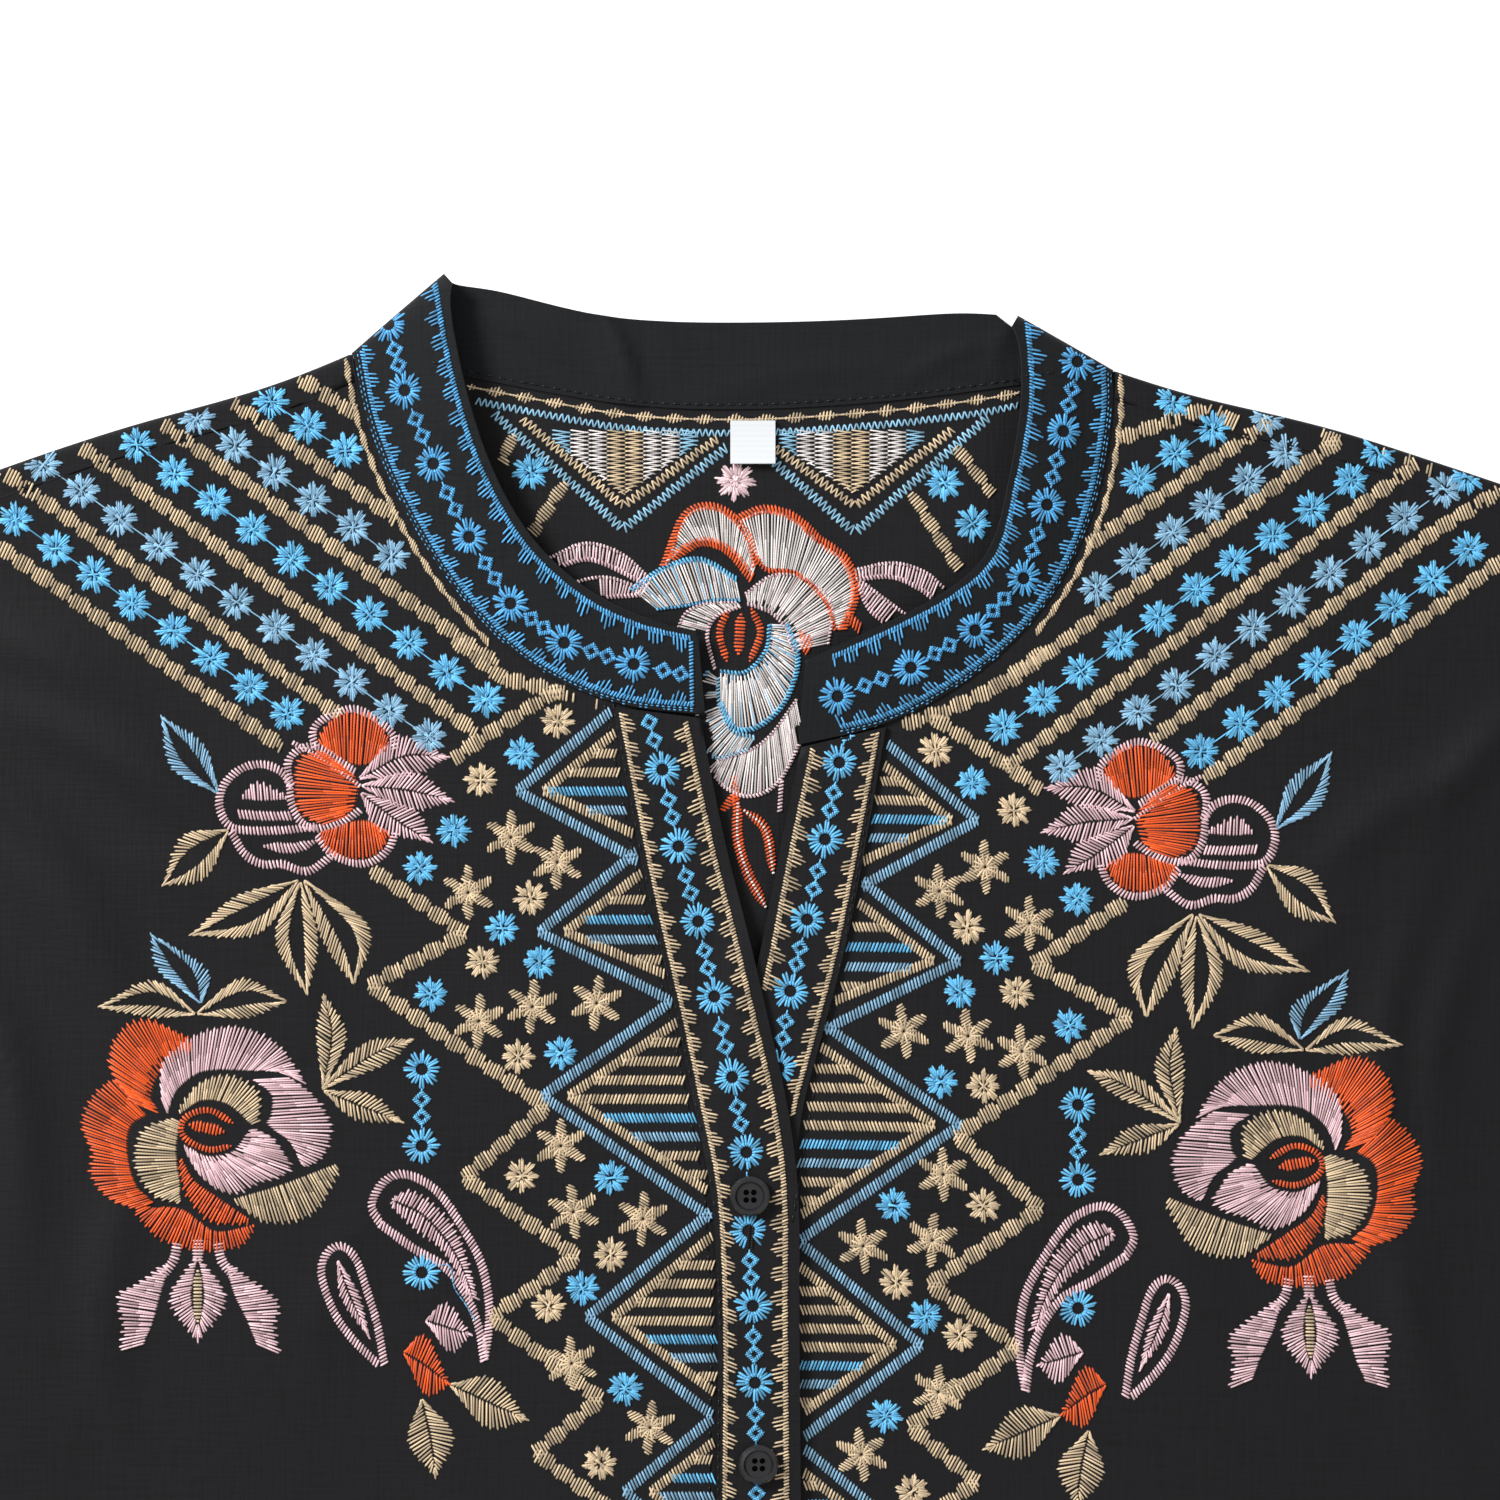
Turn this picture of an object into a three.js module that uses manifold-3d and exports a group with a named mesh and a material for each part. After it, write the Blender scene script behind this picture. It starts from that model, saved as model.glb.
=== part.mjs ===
// A band-collar blouse with a half placket and three-quarter sleeves, laid out flat with its front up.
// Millimetres. +X runs to the right across the laid-out blouse, +Y towards the collar and +Z up.
// The tables are written from the neck: x from the centre front, y from the height of the neck seam
// at the left shoulder. The whole blouse is then centred on its own footprint.
import * as THREE from "three";
import { mergeVertices } from "three/addons/utils/BufferGeometryUtils.js";
import Module from "manifold-3d";

const wasm = await Module();
wasm.setup();

// ---- driving sizes ----

const cloth = { panel: 1.0, band: 1.2, gap: 0.3, edgeGap: 0.4 }; // walls, and the air left at seams
const level = { back: 0.5, bandBack: 0.9, front: 1.8 }; // middles of the layers over the surface
const spring = { height: 1.2, reach: 16 }; // how far a folded edge stays open, and how far in that shows
const restWidth = 26; // a sewn edge lies flat, and the front layer rises over this width
const shoulderWrap = 6; // the back comes over the shoulder fold and is seamed this far down the front
const placketLift = { sewn: 1.4, over: 2.9, rampStart: 7 }; // over the front layer's middle
const bandCrown = { height: 0.7, fullAt: 6 }; // the band swells by this where it stands this high
const bandStep = { sewn: 0.3, atPlacket: 1.3, from: 0.72, to: 0.92 }; // how far it stands off the panel
const button = { across: 11.4, thick: 2.5, holeAcross: 1.7, holeFromCentre: 1.5 };
const label = { left: -5.5, right: 7.1, top: -17.6, bottom: -32.6, curl: 1.1 };

const steps = {
  shoulder: 6,
  neckFront: 9, // from the shoulder seam to the placket
  neckBack: 12,
  slit: 7,
  belowSlit: 10,
  armhole: 9,
  side: 17,
  fold: 5, // round a folded edge
  halfHem: 12,
  sleeve: 14,
  bandHeight: 4,
  placket: 22,
  placketOver: 6,
  placketUnder: 3,
  labelAcross: 2,
  labelDown: 5,
  button: 24,
  buttonHole: 8,
};

// ---- tables ----

// Front collar band, one row per section from the shoulder fold to the front end:
// where it is sewn to the neckline, where its free top edge is, and how high that edge stands.
const bandLeft = [
  { seamX: -111.4, seamY: -1.1, topX: -85.4, topY: 21.0, topZ: 8.6 },
  { seamX: -106.8, seamY: -22.0, topX: -81.0, topY: -4.0, topZ: 9.2 },
  { seamX: -97.0, seamY: -45.0, topX: -74.0, topY: -29.0, topZ: 8.6 },
  { seamX: -82.0, seamY: -68.3, topX: -62.2, topY: -51.6, topZ: 7.4 },
  { seamX: -63.0, seamY: -87.4, topX: -46.5, topY: -66.6, topZ: 6.4 },
  { seamX: -38.4, seamY: -98.8, topX: -31.0, topY: -74.6, topZ: 5.6 },
  { seamX: -12.6, seamY: -101.9, topX: -14.6, topY: -79.0, topZ: 5.0 },
];
const bandRight = [
  { seamX: 101.6, seamY: -5.9, topX: 74.8, topY: 9.2, topZ: 8.8 },
  { seamX: 101.3, seamY: -20.0, topX: 76.0, topY: -14.0, topZ: 9.2 },
  { seamX: 97.0, seamY: -43.0, topX: 72.0, topY: -37.5, topZ: 8.4 },
  { seamX: 87.0, seamY: -65.5, topX: 67.0, topY: -57.0, topZ: 7.0 },
  { seamX: 70.0, seamY: -85.8, topX: 54.0, topY: -68.4, topZ: 6.4 },
  { seamX: 42.0, seamY: -103.4, topX: 33.5, topY: -78.6, topZ: 5.8 },
  { seamX: 13.7, seamY: -110.3, topX: 15.4, topY: -87.0, topZ: 5.2 },
];
// Back of the band, from the left shoulder fold to the right one. It lies with its inside up.
const bandBack = [
  { seamX: -111.4, seamY: -1.1, topX: -85.4, topY: 21.0, topZ: 1.5 },
  { seamX: -88.0, seamY: -5.5, topX: -66.0, topY: 15.6, topZ: 1.7 },
  { seamX: -60.0, seamY: -11.0, topX: -50.0, topY: 11.4, topZ: 2.6 },
  { seamX: -32.0, seamY: -15.6, topX: -34.0, topY: 8.6, topZ: 1.5 },
  { seamX: 0.0, seamY: -16.5, topX: 0.0, topY: 7.8, topZ: 1.9 },
  { seamX: 34.0, seamY: -14.6, topX: 32.0, topY: 8.8, topZ: 1.6 },
  { seamX: 62.0, seamY: -11.4, topX: 54.0, topY: 10.4, topZ: 2.2 },
  { seamX: 84.0, seamY: -8.2, topX: 66.0, topY: 10.4, topZ: 1.7 },
  { seamX: 101.6, seamY: -5.9, topX: 74.8, topY: 9.2, topZ: 1.5 },
];
const slitCorner = { left: 0.875, right: 0.89 }; // where along a front band table the slit begins

// The placket strips, from the collar down: sewn edge and free edge.
const placketOver = [
  { seamX: -38.6, seamY: -99.9, freeX: -14.0, freeY: -103.0 },
  { seamX: -31.9, seamY: -136.0, freeX: -7.0, freeY: -138.0 },
  { seamX: -26.5, seamY: -162.0, freeX: -0.4, freeY: -164.0 },
  { seamX: -21.0, seamY: -185.0, freeX: 5.0, freeY: -187.0 },
  { seamX: -15.7, seamY: -211.0, freeX: 10.6, freeY: -212.0 },
  { seamX: -10.8, seamY: -236.0, freeX: 13.6, freeY: -236.5 },
  { seamX: -9.0, seamY: -271.0, freeX: 13.8, freeY: -271.0 },
  { seamX: -9.4, seamY: -320.0, freeX: 14.2, freeY: -320.0 },
  { seamX: -9.8, seamY: -360.0, freeX: 14.4, freeY: -360.0 },
];
const placketUnder = [
  { seamX: 38.1, seamY: -105.5, freeX: 14.3, freeY: -111.2 },
  { seamX: 32.8, seamY: -136.0, freeX: 8.6, freeY: -139.0 },
  { seamX: 26.6, seamY: -167.7, freeX: 2.6, freeY: -170.0 },
  { seamX: 19.9, seamY: -193.0, freeX: -3.0, freeY: -195.0 },
  { seamX: 14.2, seamY: -215.0, freeX: -5.0, freeY: -217.0 },
  { seamX: 12.6, seamY: -240.0, freeX: -5.2, freeY: -240.0 },
  { seamX: 12.8, seamY: -271.0, freeX: -4.6, freeY: -271.0 },
  { seamX: 13.2, seamY: -320.0, freeX: -4.6, freeY: -320.0 },
  { seamX: 13.4, seamY: -359.6, freeX: -4.6, freeY: -359.6 },
];

// The cut edge of the front under each strip. Both run down to one point.
const slitLeft = [
  { x: -26.0, y: -136 },
  { x: -15.5, y: -185 },
  { x: -6.0, y: -236 },
  { x: -4.0, y: -271 },
  { x: -1.5, y: -320 },
  { x: 2.0, y: -352 },
];
const slitRight = [
  { x: 26.8, y: -136 },
  { x: 13.6, y: -193 },
  { x: 8.4, y: -217 },
  { x: 7.4, y: -271 },
  { x: 5.4, y: -320 },
  { x: 2.0, y: -352 },
];

// Outlines of the laid-out body and sleeves, seen from above.
const outline = {
  left: {
    shoulder: [
      { x: -111.4, y: -1.1 },
      { x: -136.0, y: -11.2 },
      { x: -165.0, y: -18.8 },
      { x: -195.0, y: -28.2 },
      { x: -225.0, y: -39.0 },
    ],
    armhole: [
      { x: -221.0, y: -105.0 },
      { x: -229.0, y: -170.0 },
      { x: -252.0, y: -222.0 },
      { x: -295.0, y: -262.0 },
    ],
    side: [
      { x: -295.0, y: -262.0 },
      { x: -296.0, y: -380.0 },
      { x: -301.0, y: -520.0 },
      { x: -307.0, y: -640.0 },
      { x: -310.0, y: -712.0 },
    ],
    hem: [
      { x: 2.0, y: -737.0 },
      { x: -120.0, y: -735.0 },
      { x: -240.0, y: -727.0 },
      { x: -310.0, y: -712.0 },
    ],
    sleeveFold: [
      { x: -225.0, y: -39.0 },
      { x: -265.0, y: -56.0 },
      { x: -320.0, y: -94.0 },
      { x: -400.0, y: -157.0 },
      { x: -490.0, y: -229.0 },
      { x: -578.0, y: -298.0 },
    ],
    sleeveSeam: [
      { x: -295.0, y: -262.0 },
      { x: -345.0, y: -304.0 },
      { x: -410.0, y: -356.0 },
      { x: -482.5, y: -420.0 },
    ],
  },
  right: {
    shoulder: [
      { x: 101.6, y: -5.9 },
      { x: 126.6, y: -14.0 },
      { x: 156.5, y: -20.2 },
      { x: 190.4, y: -31.0 },
      { x: 226.0, y: -43.0 },
    ],
    armhole: [
      { x: 221.0, y: -108.0 },
      { x: 228.0, y: -174.0 },
      { x: 251.0, y: -226.0 },
      { x: 293.0, y: -266.0 },
    ],
    side: [
      { x: 293.0, y: -266.0 },
      { x: 295.0, y: -380.0 },
      { x: 300.0, y: -520.0 },
      { x: 306.0, y: -640.0 },
      { x: 309.0, y: -714.0 },
    ],
    hem: [
      { x: 2.0, y: -737.0 },
      { x: 120.0, y: -735.5 },
      { x: 240.0, y: -728.0 },
      { x: 309.0, y: -714.0 },
    ],
    sleeveFold: [
      { x: 226.0, y: -43.0 },
      { x: 266.0, y: -61.0 },
      { x: 321.0, y: -101.0 },
      { x: 401.0, y: -167.0 },
      { x: 488.0, y: -240.0 },
      { x: 572.0, y: -310.0 },
    ],
    sleeveSeam: [
      { x: 293.0, y: -266.0 },
      { x: 342.0, y: -309.0 },
      { x: 405.0, y: -365.0 },
      { x: 472.5, y: -429.0 },
    ],
  },
};

// The soft folds of the upper layer: middle, direction of the crest, half length, half width, height.
const folds = [
  { x: -176, y: -130, turn: -38, length: 58, width: 20, height: 1.5 },
  { x: -150, y: -300, turn: 78, length: 90, width: 22, height: 1.2 },
  { x: -238, y: -262, turn: -52, length: 70, width: 21, height: 2.6 },
  { x: -226, y: -400, turn: 82, length: 150, width: 24, height: 2.4 },
  { x: -120, y: -520, turn: 96, length: 170, width: 30, height: 2.2 },
  { x: -20, y: -600, turn: 84, length: 110, width: 28, height: 1.7 },
  { x: 118, y: -540, turn: 86, length: 160, width: 30, height: 2.5 },
  { x: 214, y: -430, turn: 98, length: 140, width: 24, height: 2.1 },
  { x: 236, y: -276, turn: 50, length: 66, width: 20, height: 2.4 },
  { x: 178, y: -150, turn: 34, length: 60, width: 21, height: 1.4 },
  { x: 146, y: -320, turn: 104, length: 80, width: 22, height: 1.0 },
  { x: -300, y: -190, turn: 62, length: 64, width: 20, height: 2.8 },
  { x: -384, y: -246, turn: 30, length: 70, width: 22, height: 2.6 },
  { x: -478, y: -312, turn: 46, length: 60, width: 21, height: 2.2 },
  { x: 300, y: -196, turn: -58, length: 62, width: 20, height: 2.7 },
  { x: 376, y: -262, turn: -34, length: 66, width: 22, height: 2.4 },
  { x: 470, y: -330, turn: -50, length: 64, width: 21, height: 2.5 },
];

// ---- curves and heights ----

const flat = (p) => new THREE.Vector3(p.x, p.y, 0);
const smooth = (t) => {
  const c = Math.min(1, Math.max(0, t));
  return c * c * (3 - 2 * c);
};
const evenly = (from, to, count) =>
  Array.from({ length: count + 1 }, (_, i) => THREE.MathUtils.lerp(from, to, i / count));
const spline = (rows) => new THREE.CatmullRomCurve3(rows.map(flat), false, "centripetal");
const walk = (curve, count) => curve.getSpacedPoints(count);

// The edges of one side of the blouse as curves.
function sideCurves(name) {
  const rows = outline[name];
  return {
    shoulder: spline(rows.shoulder),
    armhole: spline([rows.shoulder.at(-1), ...rows.armhole]),
    side: spline(rows.side),
    hem: spline(rows.hem),
    sleeveFold: spline(rows.sleeveFold),
    sleeveSeam: spline(rows.sleeveSeam),
    cuff: spline([rows.sleeveFold.at(-1), rows.sleeveSeam.at(-1)]),
  };
}
const curves = { left: sideCurves("left"), right: sideCurves("right") };

const polyline = (curve) => curve.getSpacedPoints(40);
const both = [curves.left, curves.right];
const restingEdges = both.flatMap((c) => [c.side, c.hem, c.sleeveSeam]).map(polyline);
const foldedEdges = both.flatMap((c) => [c.shoulder, c.sleeveFold]).map(polyline);

// Distance in plan from a point to the nearest of some polylines.
function distanceTo(lines, x, y) {
  const spot = new THREE.Vector3(x, y, 0);
  const near = new THREE.Vector3();
  const piece = new THREE.Line3();
  let least = Infinity;
  for (const line of lines)
    for (let i = 1; i < line.length; i++) {
      piece.set(line[i - 1], line[i]).closestPointToPoint(spot, true, near);
      least = Math.min(least, near.distanceTo(spot));
    }
  return least;
}

function foldHeight(x, y) {
  let height = 0;
  for (const f of folds) {
    const turn = THREE.MathUtils.degToRad(f.turn);
    const along = (x - f.x) * Math.cos(turn) + (y - f.y) * Math.sin(turn);
    const across = (y - f.y) * Math.cos(turn) - (x - f.x) * Math.sin(turn);
    height += f.height * Math.exp(-((along / f.length) ** 2) - (across / f.width) ** 2);
  }
  return height;
}

// Middle of the upper layer: flat on the back along sides and hem, sprung open along folded edges.
function upper(x, y) {
  const rest = smooth(distanceTo(restingEdges, x, y) / restWidth);
  const open = Math.exp(-((distanceTo(foldedEdges, x, y) / spring.reach) ** 2));
  return level.front + rest * (open * spring.height + (1 - open) * foldHeight(x, y));
}

const onFront = (p, extra = 0) => new THREE.Vector3(p.x, p.y, upper(p.x, p.y) + extra);
const onBack = (p) => new THREE.Vector3(p.x, p.y, level.back);

// Unit normal of a plan curve, to the side given by sign.
function outward(curve, t, sign) {
  const along = curve.getTangentAt(t);
  return new THREE.Vector3(-along.y * sign, along.x * sign, 0);
}

// ---- sheets and walls ----

// A sheet is a list of corners and of quads, wound anticlockwise as seen from its outer side.
class Sheet {
  constructor() {
    this.corners = [];
    this.quads = [];
    this.known = new Map();
  }

  corner(p) {
    const key = [p.x, p.y, p.z].map((c) => c.toFixed(4)).join();
    if (!this.known.has(key)) {
      this.known.set(key, this.corners.length);
      this.corners.push(p);
    }
    return this.known.get(key);
  }

  // rows[i][j] are points; flip turns the outer side round. closed joins each row's end to its start.
  grid(rows, { flip = false, closed = false } = {}) {
    const ids = rows.map((row) => row.map((p) => this.corner(p)));
    for (let i = 1; i < ids.length; i++) {
      const across = ids[i].length;
      for (let j = closed ? 0 : 1; j < across; j++) {
        const k = (j + across - 1) % across;
        const quad = [ids[i - 1][k], ids[i - 1][j], ids[i][j], ids[i][k]];
        this.quads.push(flip ? quad.reverse() : quad);
      }
    }
    return this;
  }

  normals() {
    const normals = this.corners.map(() => new THREE.Vector3());
    for (const quad of this.quads) {
      const [a, b, c, d] = quad.map((id) => this.corners[id]);
      const normal = c.clone().sub(a).cross(d.clone().sub(b));
      for (const id of quad) normals[id].add(normal);
    }
    return normals.map((n) => n.normalize());
  }

  // A closed wall of this thickness with the sheet in its middle.
  wall(thickness) {
    const normals = this.normals();
    const count = this.corners.length;
    const faces = this.corners.map((p, i) => p.clone().addScaledVector(normals[i], thickness / 2));
    faces.push(...this.corners.map((p, i) => p.clone().addScaledVector(normals[i], -thickness / 2)));
    const used = new Set(this.quads.flatMap((q) => q.map((a, i) => a + ">" + q[(i + 1) % 4])));
    const triangles = [];
    for (const quad of this.quads) {
      const [a, b, c, d] = quad;
      triangles.push(a, b, c, a, c, d);
      triangles.push(a + count, c + count, b + count, a + count, d + count, c + count);
      quad.forEach((from, i) => {
        const to = quad[(i + 1) % 4];
        if (!used.has(to + ">" + from))
          triangles.push(from, from + count, to + count, from, to + count, to);
      });
    }
    const geometry = new THREE.BufferGeometry().setFromPoints(faces).setIndex(triangles);
    geometry.computeVertexNormals();
    return geometry;
  }
}

// Fills the space between four edges given as lists of points, as a Coons patch. top and bottom run
// one way, and first and last join their ends.
function fill(top, bottom, first, last) {
  const at = (line, share) => line[Math.round(share * (line.length - 1))];
  return evenly(0, 1, first.length - 1).map((v) =>
    evenly(0, 1, top.length - 1).map((u) => {
      const down = at(top, u).clone().lerp(at(bottom, u), v);
      const across = at(first, v).clone().lerp(at(last, v), u);
      const above = top[0].clone().lerp(top.at(-1), u);
      const below = bottom[0].clone().lerp(bottom.at(-1), u);
      return down.add(across).sub(above.lerp(below, v));
    }),
  );
}

// ---- collar band ----

// Sections of a band table at the given places along it, from 0 to 1.
function bandSections(rows, places) {
  const seam = new THREE.CatmullRomCurve3(rows.map((r) => new THREE.Vector3(r.seamX, r.seamY, 0)));
  const top = new THREE.CatmullRomCurve3(rows.map((r) => new THREE.Vector3(r.topX, r.topY, r.topZ)));
  return places.map((t) => ({ t, seam: seam.getPoint(t), top: top.getPoint(t) }));
}

const seamPlace = 0.05; // the shoulder seam meets the band here
const frontPlaces = (corner) => [...evenly(seamPlace, corner, steps.neckFront), (corner + 1) / 2, 1];
const frontBand = {
  left: bandSections(bandLeft, frontPlaces(slitCorner.left)),
  right: bandSections(bandRight, frontPlaces(slitCorner.right)),
};
const backBand = bandSections(bandBack, evenly(0, 1, steps.neckBack));

// The band stands a little proud of the panel it is sewn to, and more where it meets the placket.
function stepAt(t) {
  const share = smooth((t - bandStep.from) / (bandStep.to - bandStep.from));
  return THREE.MathUtils.lerp(bandStep.sewn, bandStep.atPlacket, share);
}

// One ruling of the band from its seam to its top edge, with a slight crown.
function ruling(seam, top) {
  const crown = bandCrown.height * Math.min(1, (top.z - level.back) / bandCrown.fullAt);
  return evenly(0, 1, steps.bandHeight).map((v) => {
    const p = seam.clone().lerp(top, v);
    p.z += crown * Math.sin(Math.PI * v);
    return p;
  });
}

// Rulings round the fold over a shoulder, from the front of the band to its back.
function bandFold(row, backTopZ, sign) {
  const seam = new THREE.Vector3(row.seamX, row.seamY, 0);
  const top = new THREE.Vector3(row.topX, row.topY, 0);
  const along = new THREE.Vector3().subVectors(top, seam).normalize();
  const out = new THREE.Vector3(-along.y * sign, along.x * sign, 0);
  const turn = (edge, highZ, lowZ, angle) => {
    const radius = (highZ - lowZ) / 2;
    const p = edge.clone().addScaledVector(out, radius * (Math.sin(angle) - 1));
    p.z = (highZ + lowZ) / 2 + radius * Math.cos(angle);
    return p;
  };
  const seamHigh = level.front + spring.height + stepAt(0);
  return evenly(0, Math.PI, steps.fold).map((angle) =>
    ruling(turn(seam, seamHigh, level.bandBack, angle), turn(top, row.topZ, backTopZ, angle)),
  );
}

function collarBand() {
  const frontRuling = (s) => ruling(onFront(s.seam, stepAt(s.t)), s.top);
  const backRuling = (s) => ruling(s.seam.clone().setZ(level.bandBack), s.top);
  const rows = [
    ...[...frontBand.left].reverse().map(frontRuling),
    ...bandFold(bandLeft[0], bandBack[0].topZ, 1),
    ...backBand.slice(1, -1).map(backRuling),
    ...bandFold(bandRight[0], bandBack.at(-1).topZ, -1).reverse(),
    ...frontBand.right.map(frontRuling),
  ];
  return new Sheet().grid(rows).wall(cloth.band);
}

// ---- body panels ----

// A point of the neckline, moved off the band's sewn edge by the seam gap.
function offBand({ seam, top }) {
  const away = seam.clone().sub(top).setZ(0).normalize();
  return seam.clone().addScaledVector(away, cloth.edgeGap);
}

// The turn over the folded edge of a shoulder or sleeve at one place, from the under layer to the upper.
function foldedEdge(curve, t, out) {
  const edge = curve.getPointAt(t);
  const high = level.front + spring.height;
  const radius = (high - level.back) / 2;
  return evenly(0, Math.PI, steps.fold).map((angle) => {
    const p = edge.clone().addScaledVector(out, radius * (Math.sin(angle) - 1));
    p.z = (high + level.back) / 2 - radius * Math.cos(angle);
    return p;
  });
}

// Left shoulder curves run to the left, so their outer side is on the other hand from the right ones.
const handOf = { left: -1, right: 1 };

// The strip of the back that comes over the shoulder fold: rows from the neck to the armhole, and
// beside each the edge of the front that it is sewn to. The first row runs along the collar band.
function shoulderRoll(side) {
  const curve = curves[side].shoulder;
  const places = evenly((2 * cloth.edgeGap) / curve.getLength(), 1, steps.shoulder);
  const [atFold, below] = frontBand[side];
  const alongBand = atFold.seam.clone().sub(below.seam).normalize();
  const outs = places.map((t, i) => (i === 0 ? alongBand : outward(curve, t, handOf[side])));
  const rows = places.map((t, i) => {
    const turn = foldedEdge(curve, t, outs[i]);
    const seam = turn.at(-1).clone().addScaledVector(outs[i], -shoulderWrap);
    seam.z = upper(seam.x, seam.y);
    return [...turn, seam];
  });
  const frontEdge = rows.map((row, i) => flat(row.at(-1)).addScaledVector(outs[i], -cloth.edgeGap));
  return { rows, frontEdge };
}
const rolls = { left: shoulderRoll("left"), right: shoulderRoll("right") };

// The armhole from the shoulder fold to the underarm, moved off towards the sleeve.
function armholeLine(side, off = 0) {
  const curve = curves[side].armhole;
  const line = evenly(0, 1, steps.armhole).map((t) =>
    curve.getPointAt(t).addScaledVector(outward(curve, t, handOf[side]), off),
  );
  if (!off) line[0] = flat(rolls[side].rows.at(-1)[0]);
  return line;
}

function backPanel() {
  const sheet = new Sheet();
  const neck = backBand.slice(1, -1).map(offBand);
  const top = [
    ...rolls.left.rows.map((r) => flat(r[0])).reverse(),
    ...neck,
    ...rolls.right.rows.map((r) => flat(r[0])),
  ];
  const hem = [...polyline(curves.left.hem).reverse(), ...polyline(curves.right.hem).slice(1)];
  const bottom = evenly(0, 1, top.length - 1).map((t) => pointAlong(hem, t));
  const edge = (side) => [...armholeLine(side), ...walk(curves[side].side, steps.side).slice(1)];
  sheet.grid(fill(top, bottom, edge("left"), edge("right")).map((row) => row.map(onBack)), { flip: true });
  sheet.grid(rolls.left.rows);
  sheet.grid(rolls.right.rows, { flip: true });
  return sheet.wall(cloth.panel);
}

// A point at a share of the length of a polyline.
function pointAlong(line, share) {
  const lengths = line.slice(1).map((p, i) => p.distanceTo(line[i]));
  let left = share * lengths.reduce((a, b) => a + b, 0);
  for (let i = 0; i < lengths.length; i++) {
    if (left <= lengths[i] || i === lengths.length - 1)
      return line[i].clone().lerp(line[i + 1], Math.min(1, left / lengths[i]));
    left -= lengths[i];
  }
  return line.at(-1).clone();
}

function frontHalf(side, slit) {
  const sections = frontBand[side].slice(0, steps.neckFront + 1);
  const { frontEdge } = rolls[side];
  const neckline = [frontEdge[0], ...sections.slice(1).map(offBand)];
  const slitLine = walk(spline([neckline.at(-1), ...slit]), steps.slit).slice(1);
  const centreLine = walk(new THREE.LineCurve3(slitLine.at(-1), flat(outline[side].hem[0])), steps.belowSlit);
  const top = evenly(0, 1, steps.halfHem).map((t) => pointAlong(frontEdge, t));
  const outer = [...armholeLine(side), ...walk(curves[side].side, steps.side).slice(1)];
  outer[0] = top.at(-1);
  const inner = [...neckline, ...slitLine, ...centreLine.slice(1)];
  const bottom = walk(curves[side].hem, steps.halfHem);
  return fill(top, bottom, inner, outer).map((row) => row.map((p) => onFront(p)));
}

function frontPanel() {
  return new Sheet()
    .grid(frontHalf("left", slitLeft))
    .grid(frontHalf("right", slitRight), { flip: true })
    .wall(cloth.panel);
}

// ---- sleeves ----

// A flattened tube: under layer, round the folded edge, upper layer, and closed again at the sewn edge.
function sleeve(side) {
  const { sleeveFold, sleeveSeam, cuff } = curves[side];
  const hand = handOf[side];
  const places = evenly((4 * cloth.edgeGap) / sleeveFold.getLength(), 1, steps.sleeve);
  const seamRadius = (level.front - level.back) / 2;
  const foldTurns = places.map((t) => foldedEdge(sleeveFold, t, outward(sleeveFold, t, hand)));
  const seamOut = places.map((t) => outward(sleeveSeam, t, -hand));
  const seamEdge = places.map((t, i) => sleeveSeam.getPointAt(t).addScaledVector(seamOut[i], -seamRadius));
  const foldEdge = foldTurns.map((turn) => flat(turn[0]));
  const armhole = armholeLine(side, cloth.edgeGap);
  armhole[0] = foldEdge[0];
  armhole[armhole.length - 1] = seamEdge[0];
  const cuffLine = walk(cuff, steps.armhole);
  cuffLine[0] = foldEdge.at(-1);
  cuffLine[cuffLine.length - 1] = seamEdge.at(-1);
  const rows = fill(armhole, cuffLine, foldEdge, seamEdge);
  const rings = rows.map((row, i) => {
    const under = row.map(onBack).reverse();
    const over = row.map((p) => onFront(p));
    const foldTurn = foldTurns[i].slice(1, -1);
    over[0].z = foldTurns[i].at(-1).z;
    const high = over.at(-1).z;
    const seamTurn = evenly(0, Math.PI, 4).slice(1, -1).map((angle) => {
      const p = flat(row.at(-1)).addScaledVector(seamOut[i], seamRadius * Math.sin(angle));
      p.z = (high + level.back) / 2 + ((high - level.back) / 2) * Math.cos(angle);
      return p;
    });
    return [...under, ...foldTurn, ...over, ...seamTurn];
  });
  return new Sheet().grid(rings, { flip: side === "left", closed: true }).wall(cloth.panel);
}

// ---- placket strips ----

const placketAt = (rows) => ({
  seam: spline(rows.map((r) => ({ x: r.seamX, y: r.seamY }))),
  free: spline(rows.map((r) => ({ x: r.freeX, y: r.freeY }))),
});

// Whether the upper strip has the lower one below it here, or is about to climb onto it.
const underFreeEdge = polyline(placketAt(placketUnder).free);
function climbs(p) {
  const beside = underFreeEdge.find((q) => q.y < p.y) ?? underFreeEdge.at(-1);
  return p.y < placketUnder[1].freeY && p.x > beside.x - placketLift.rampStart;
}

function placketStrip(rows, across, lift) {
  const { seam, free } = placketAt(rows);
  const grid = evenly(0, 1, steps.placket).map((t) => {
    const a = seam.getPoint(t);
    const b = free.getPoint(t);
    return evenly(0, 1, across).map((u) => {
      const p = a.clone().lerp(b, u);
      return onFront(p, lift(p));
    });
  });
  return new Sheet().grid(grid).wall(cloth.panel);
}

const liftOfOver = (p) => (climbs(p) ? placketLift.over : placketLift.sewn);
const placketOverStrip = () => placketStrip(placketOver, steps.placketOver, liftOfOver);
const placketUnderStrip = () => placketStrip(placketUnder, steps.placketUnder, () => placketLift.sewn);

// ---- buttons and label ----

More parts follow.
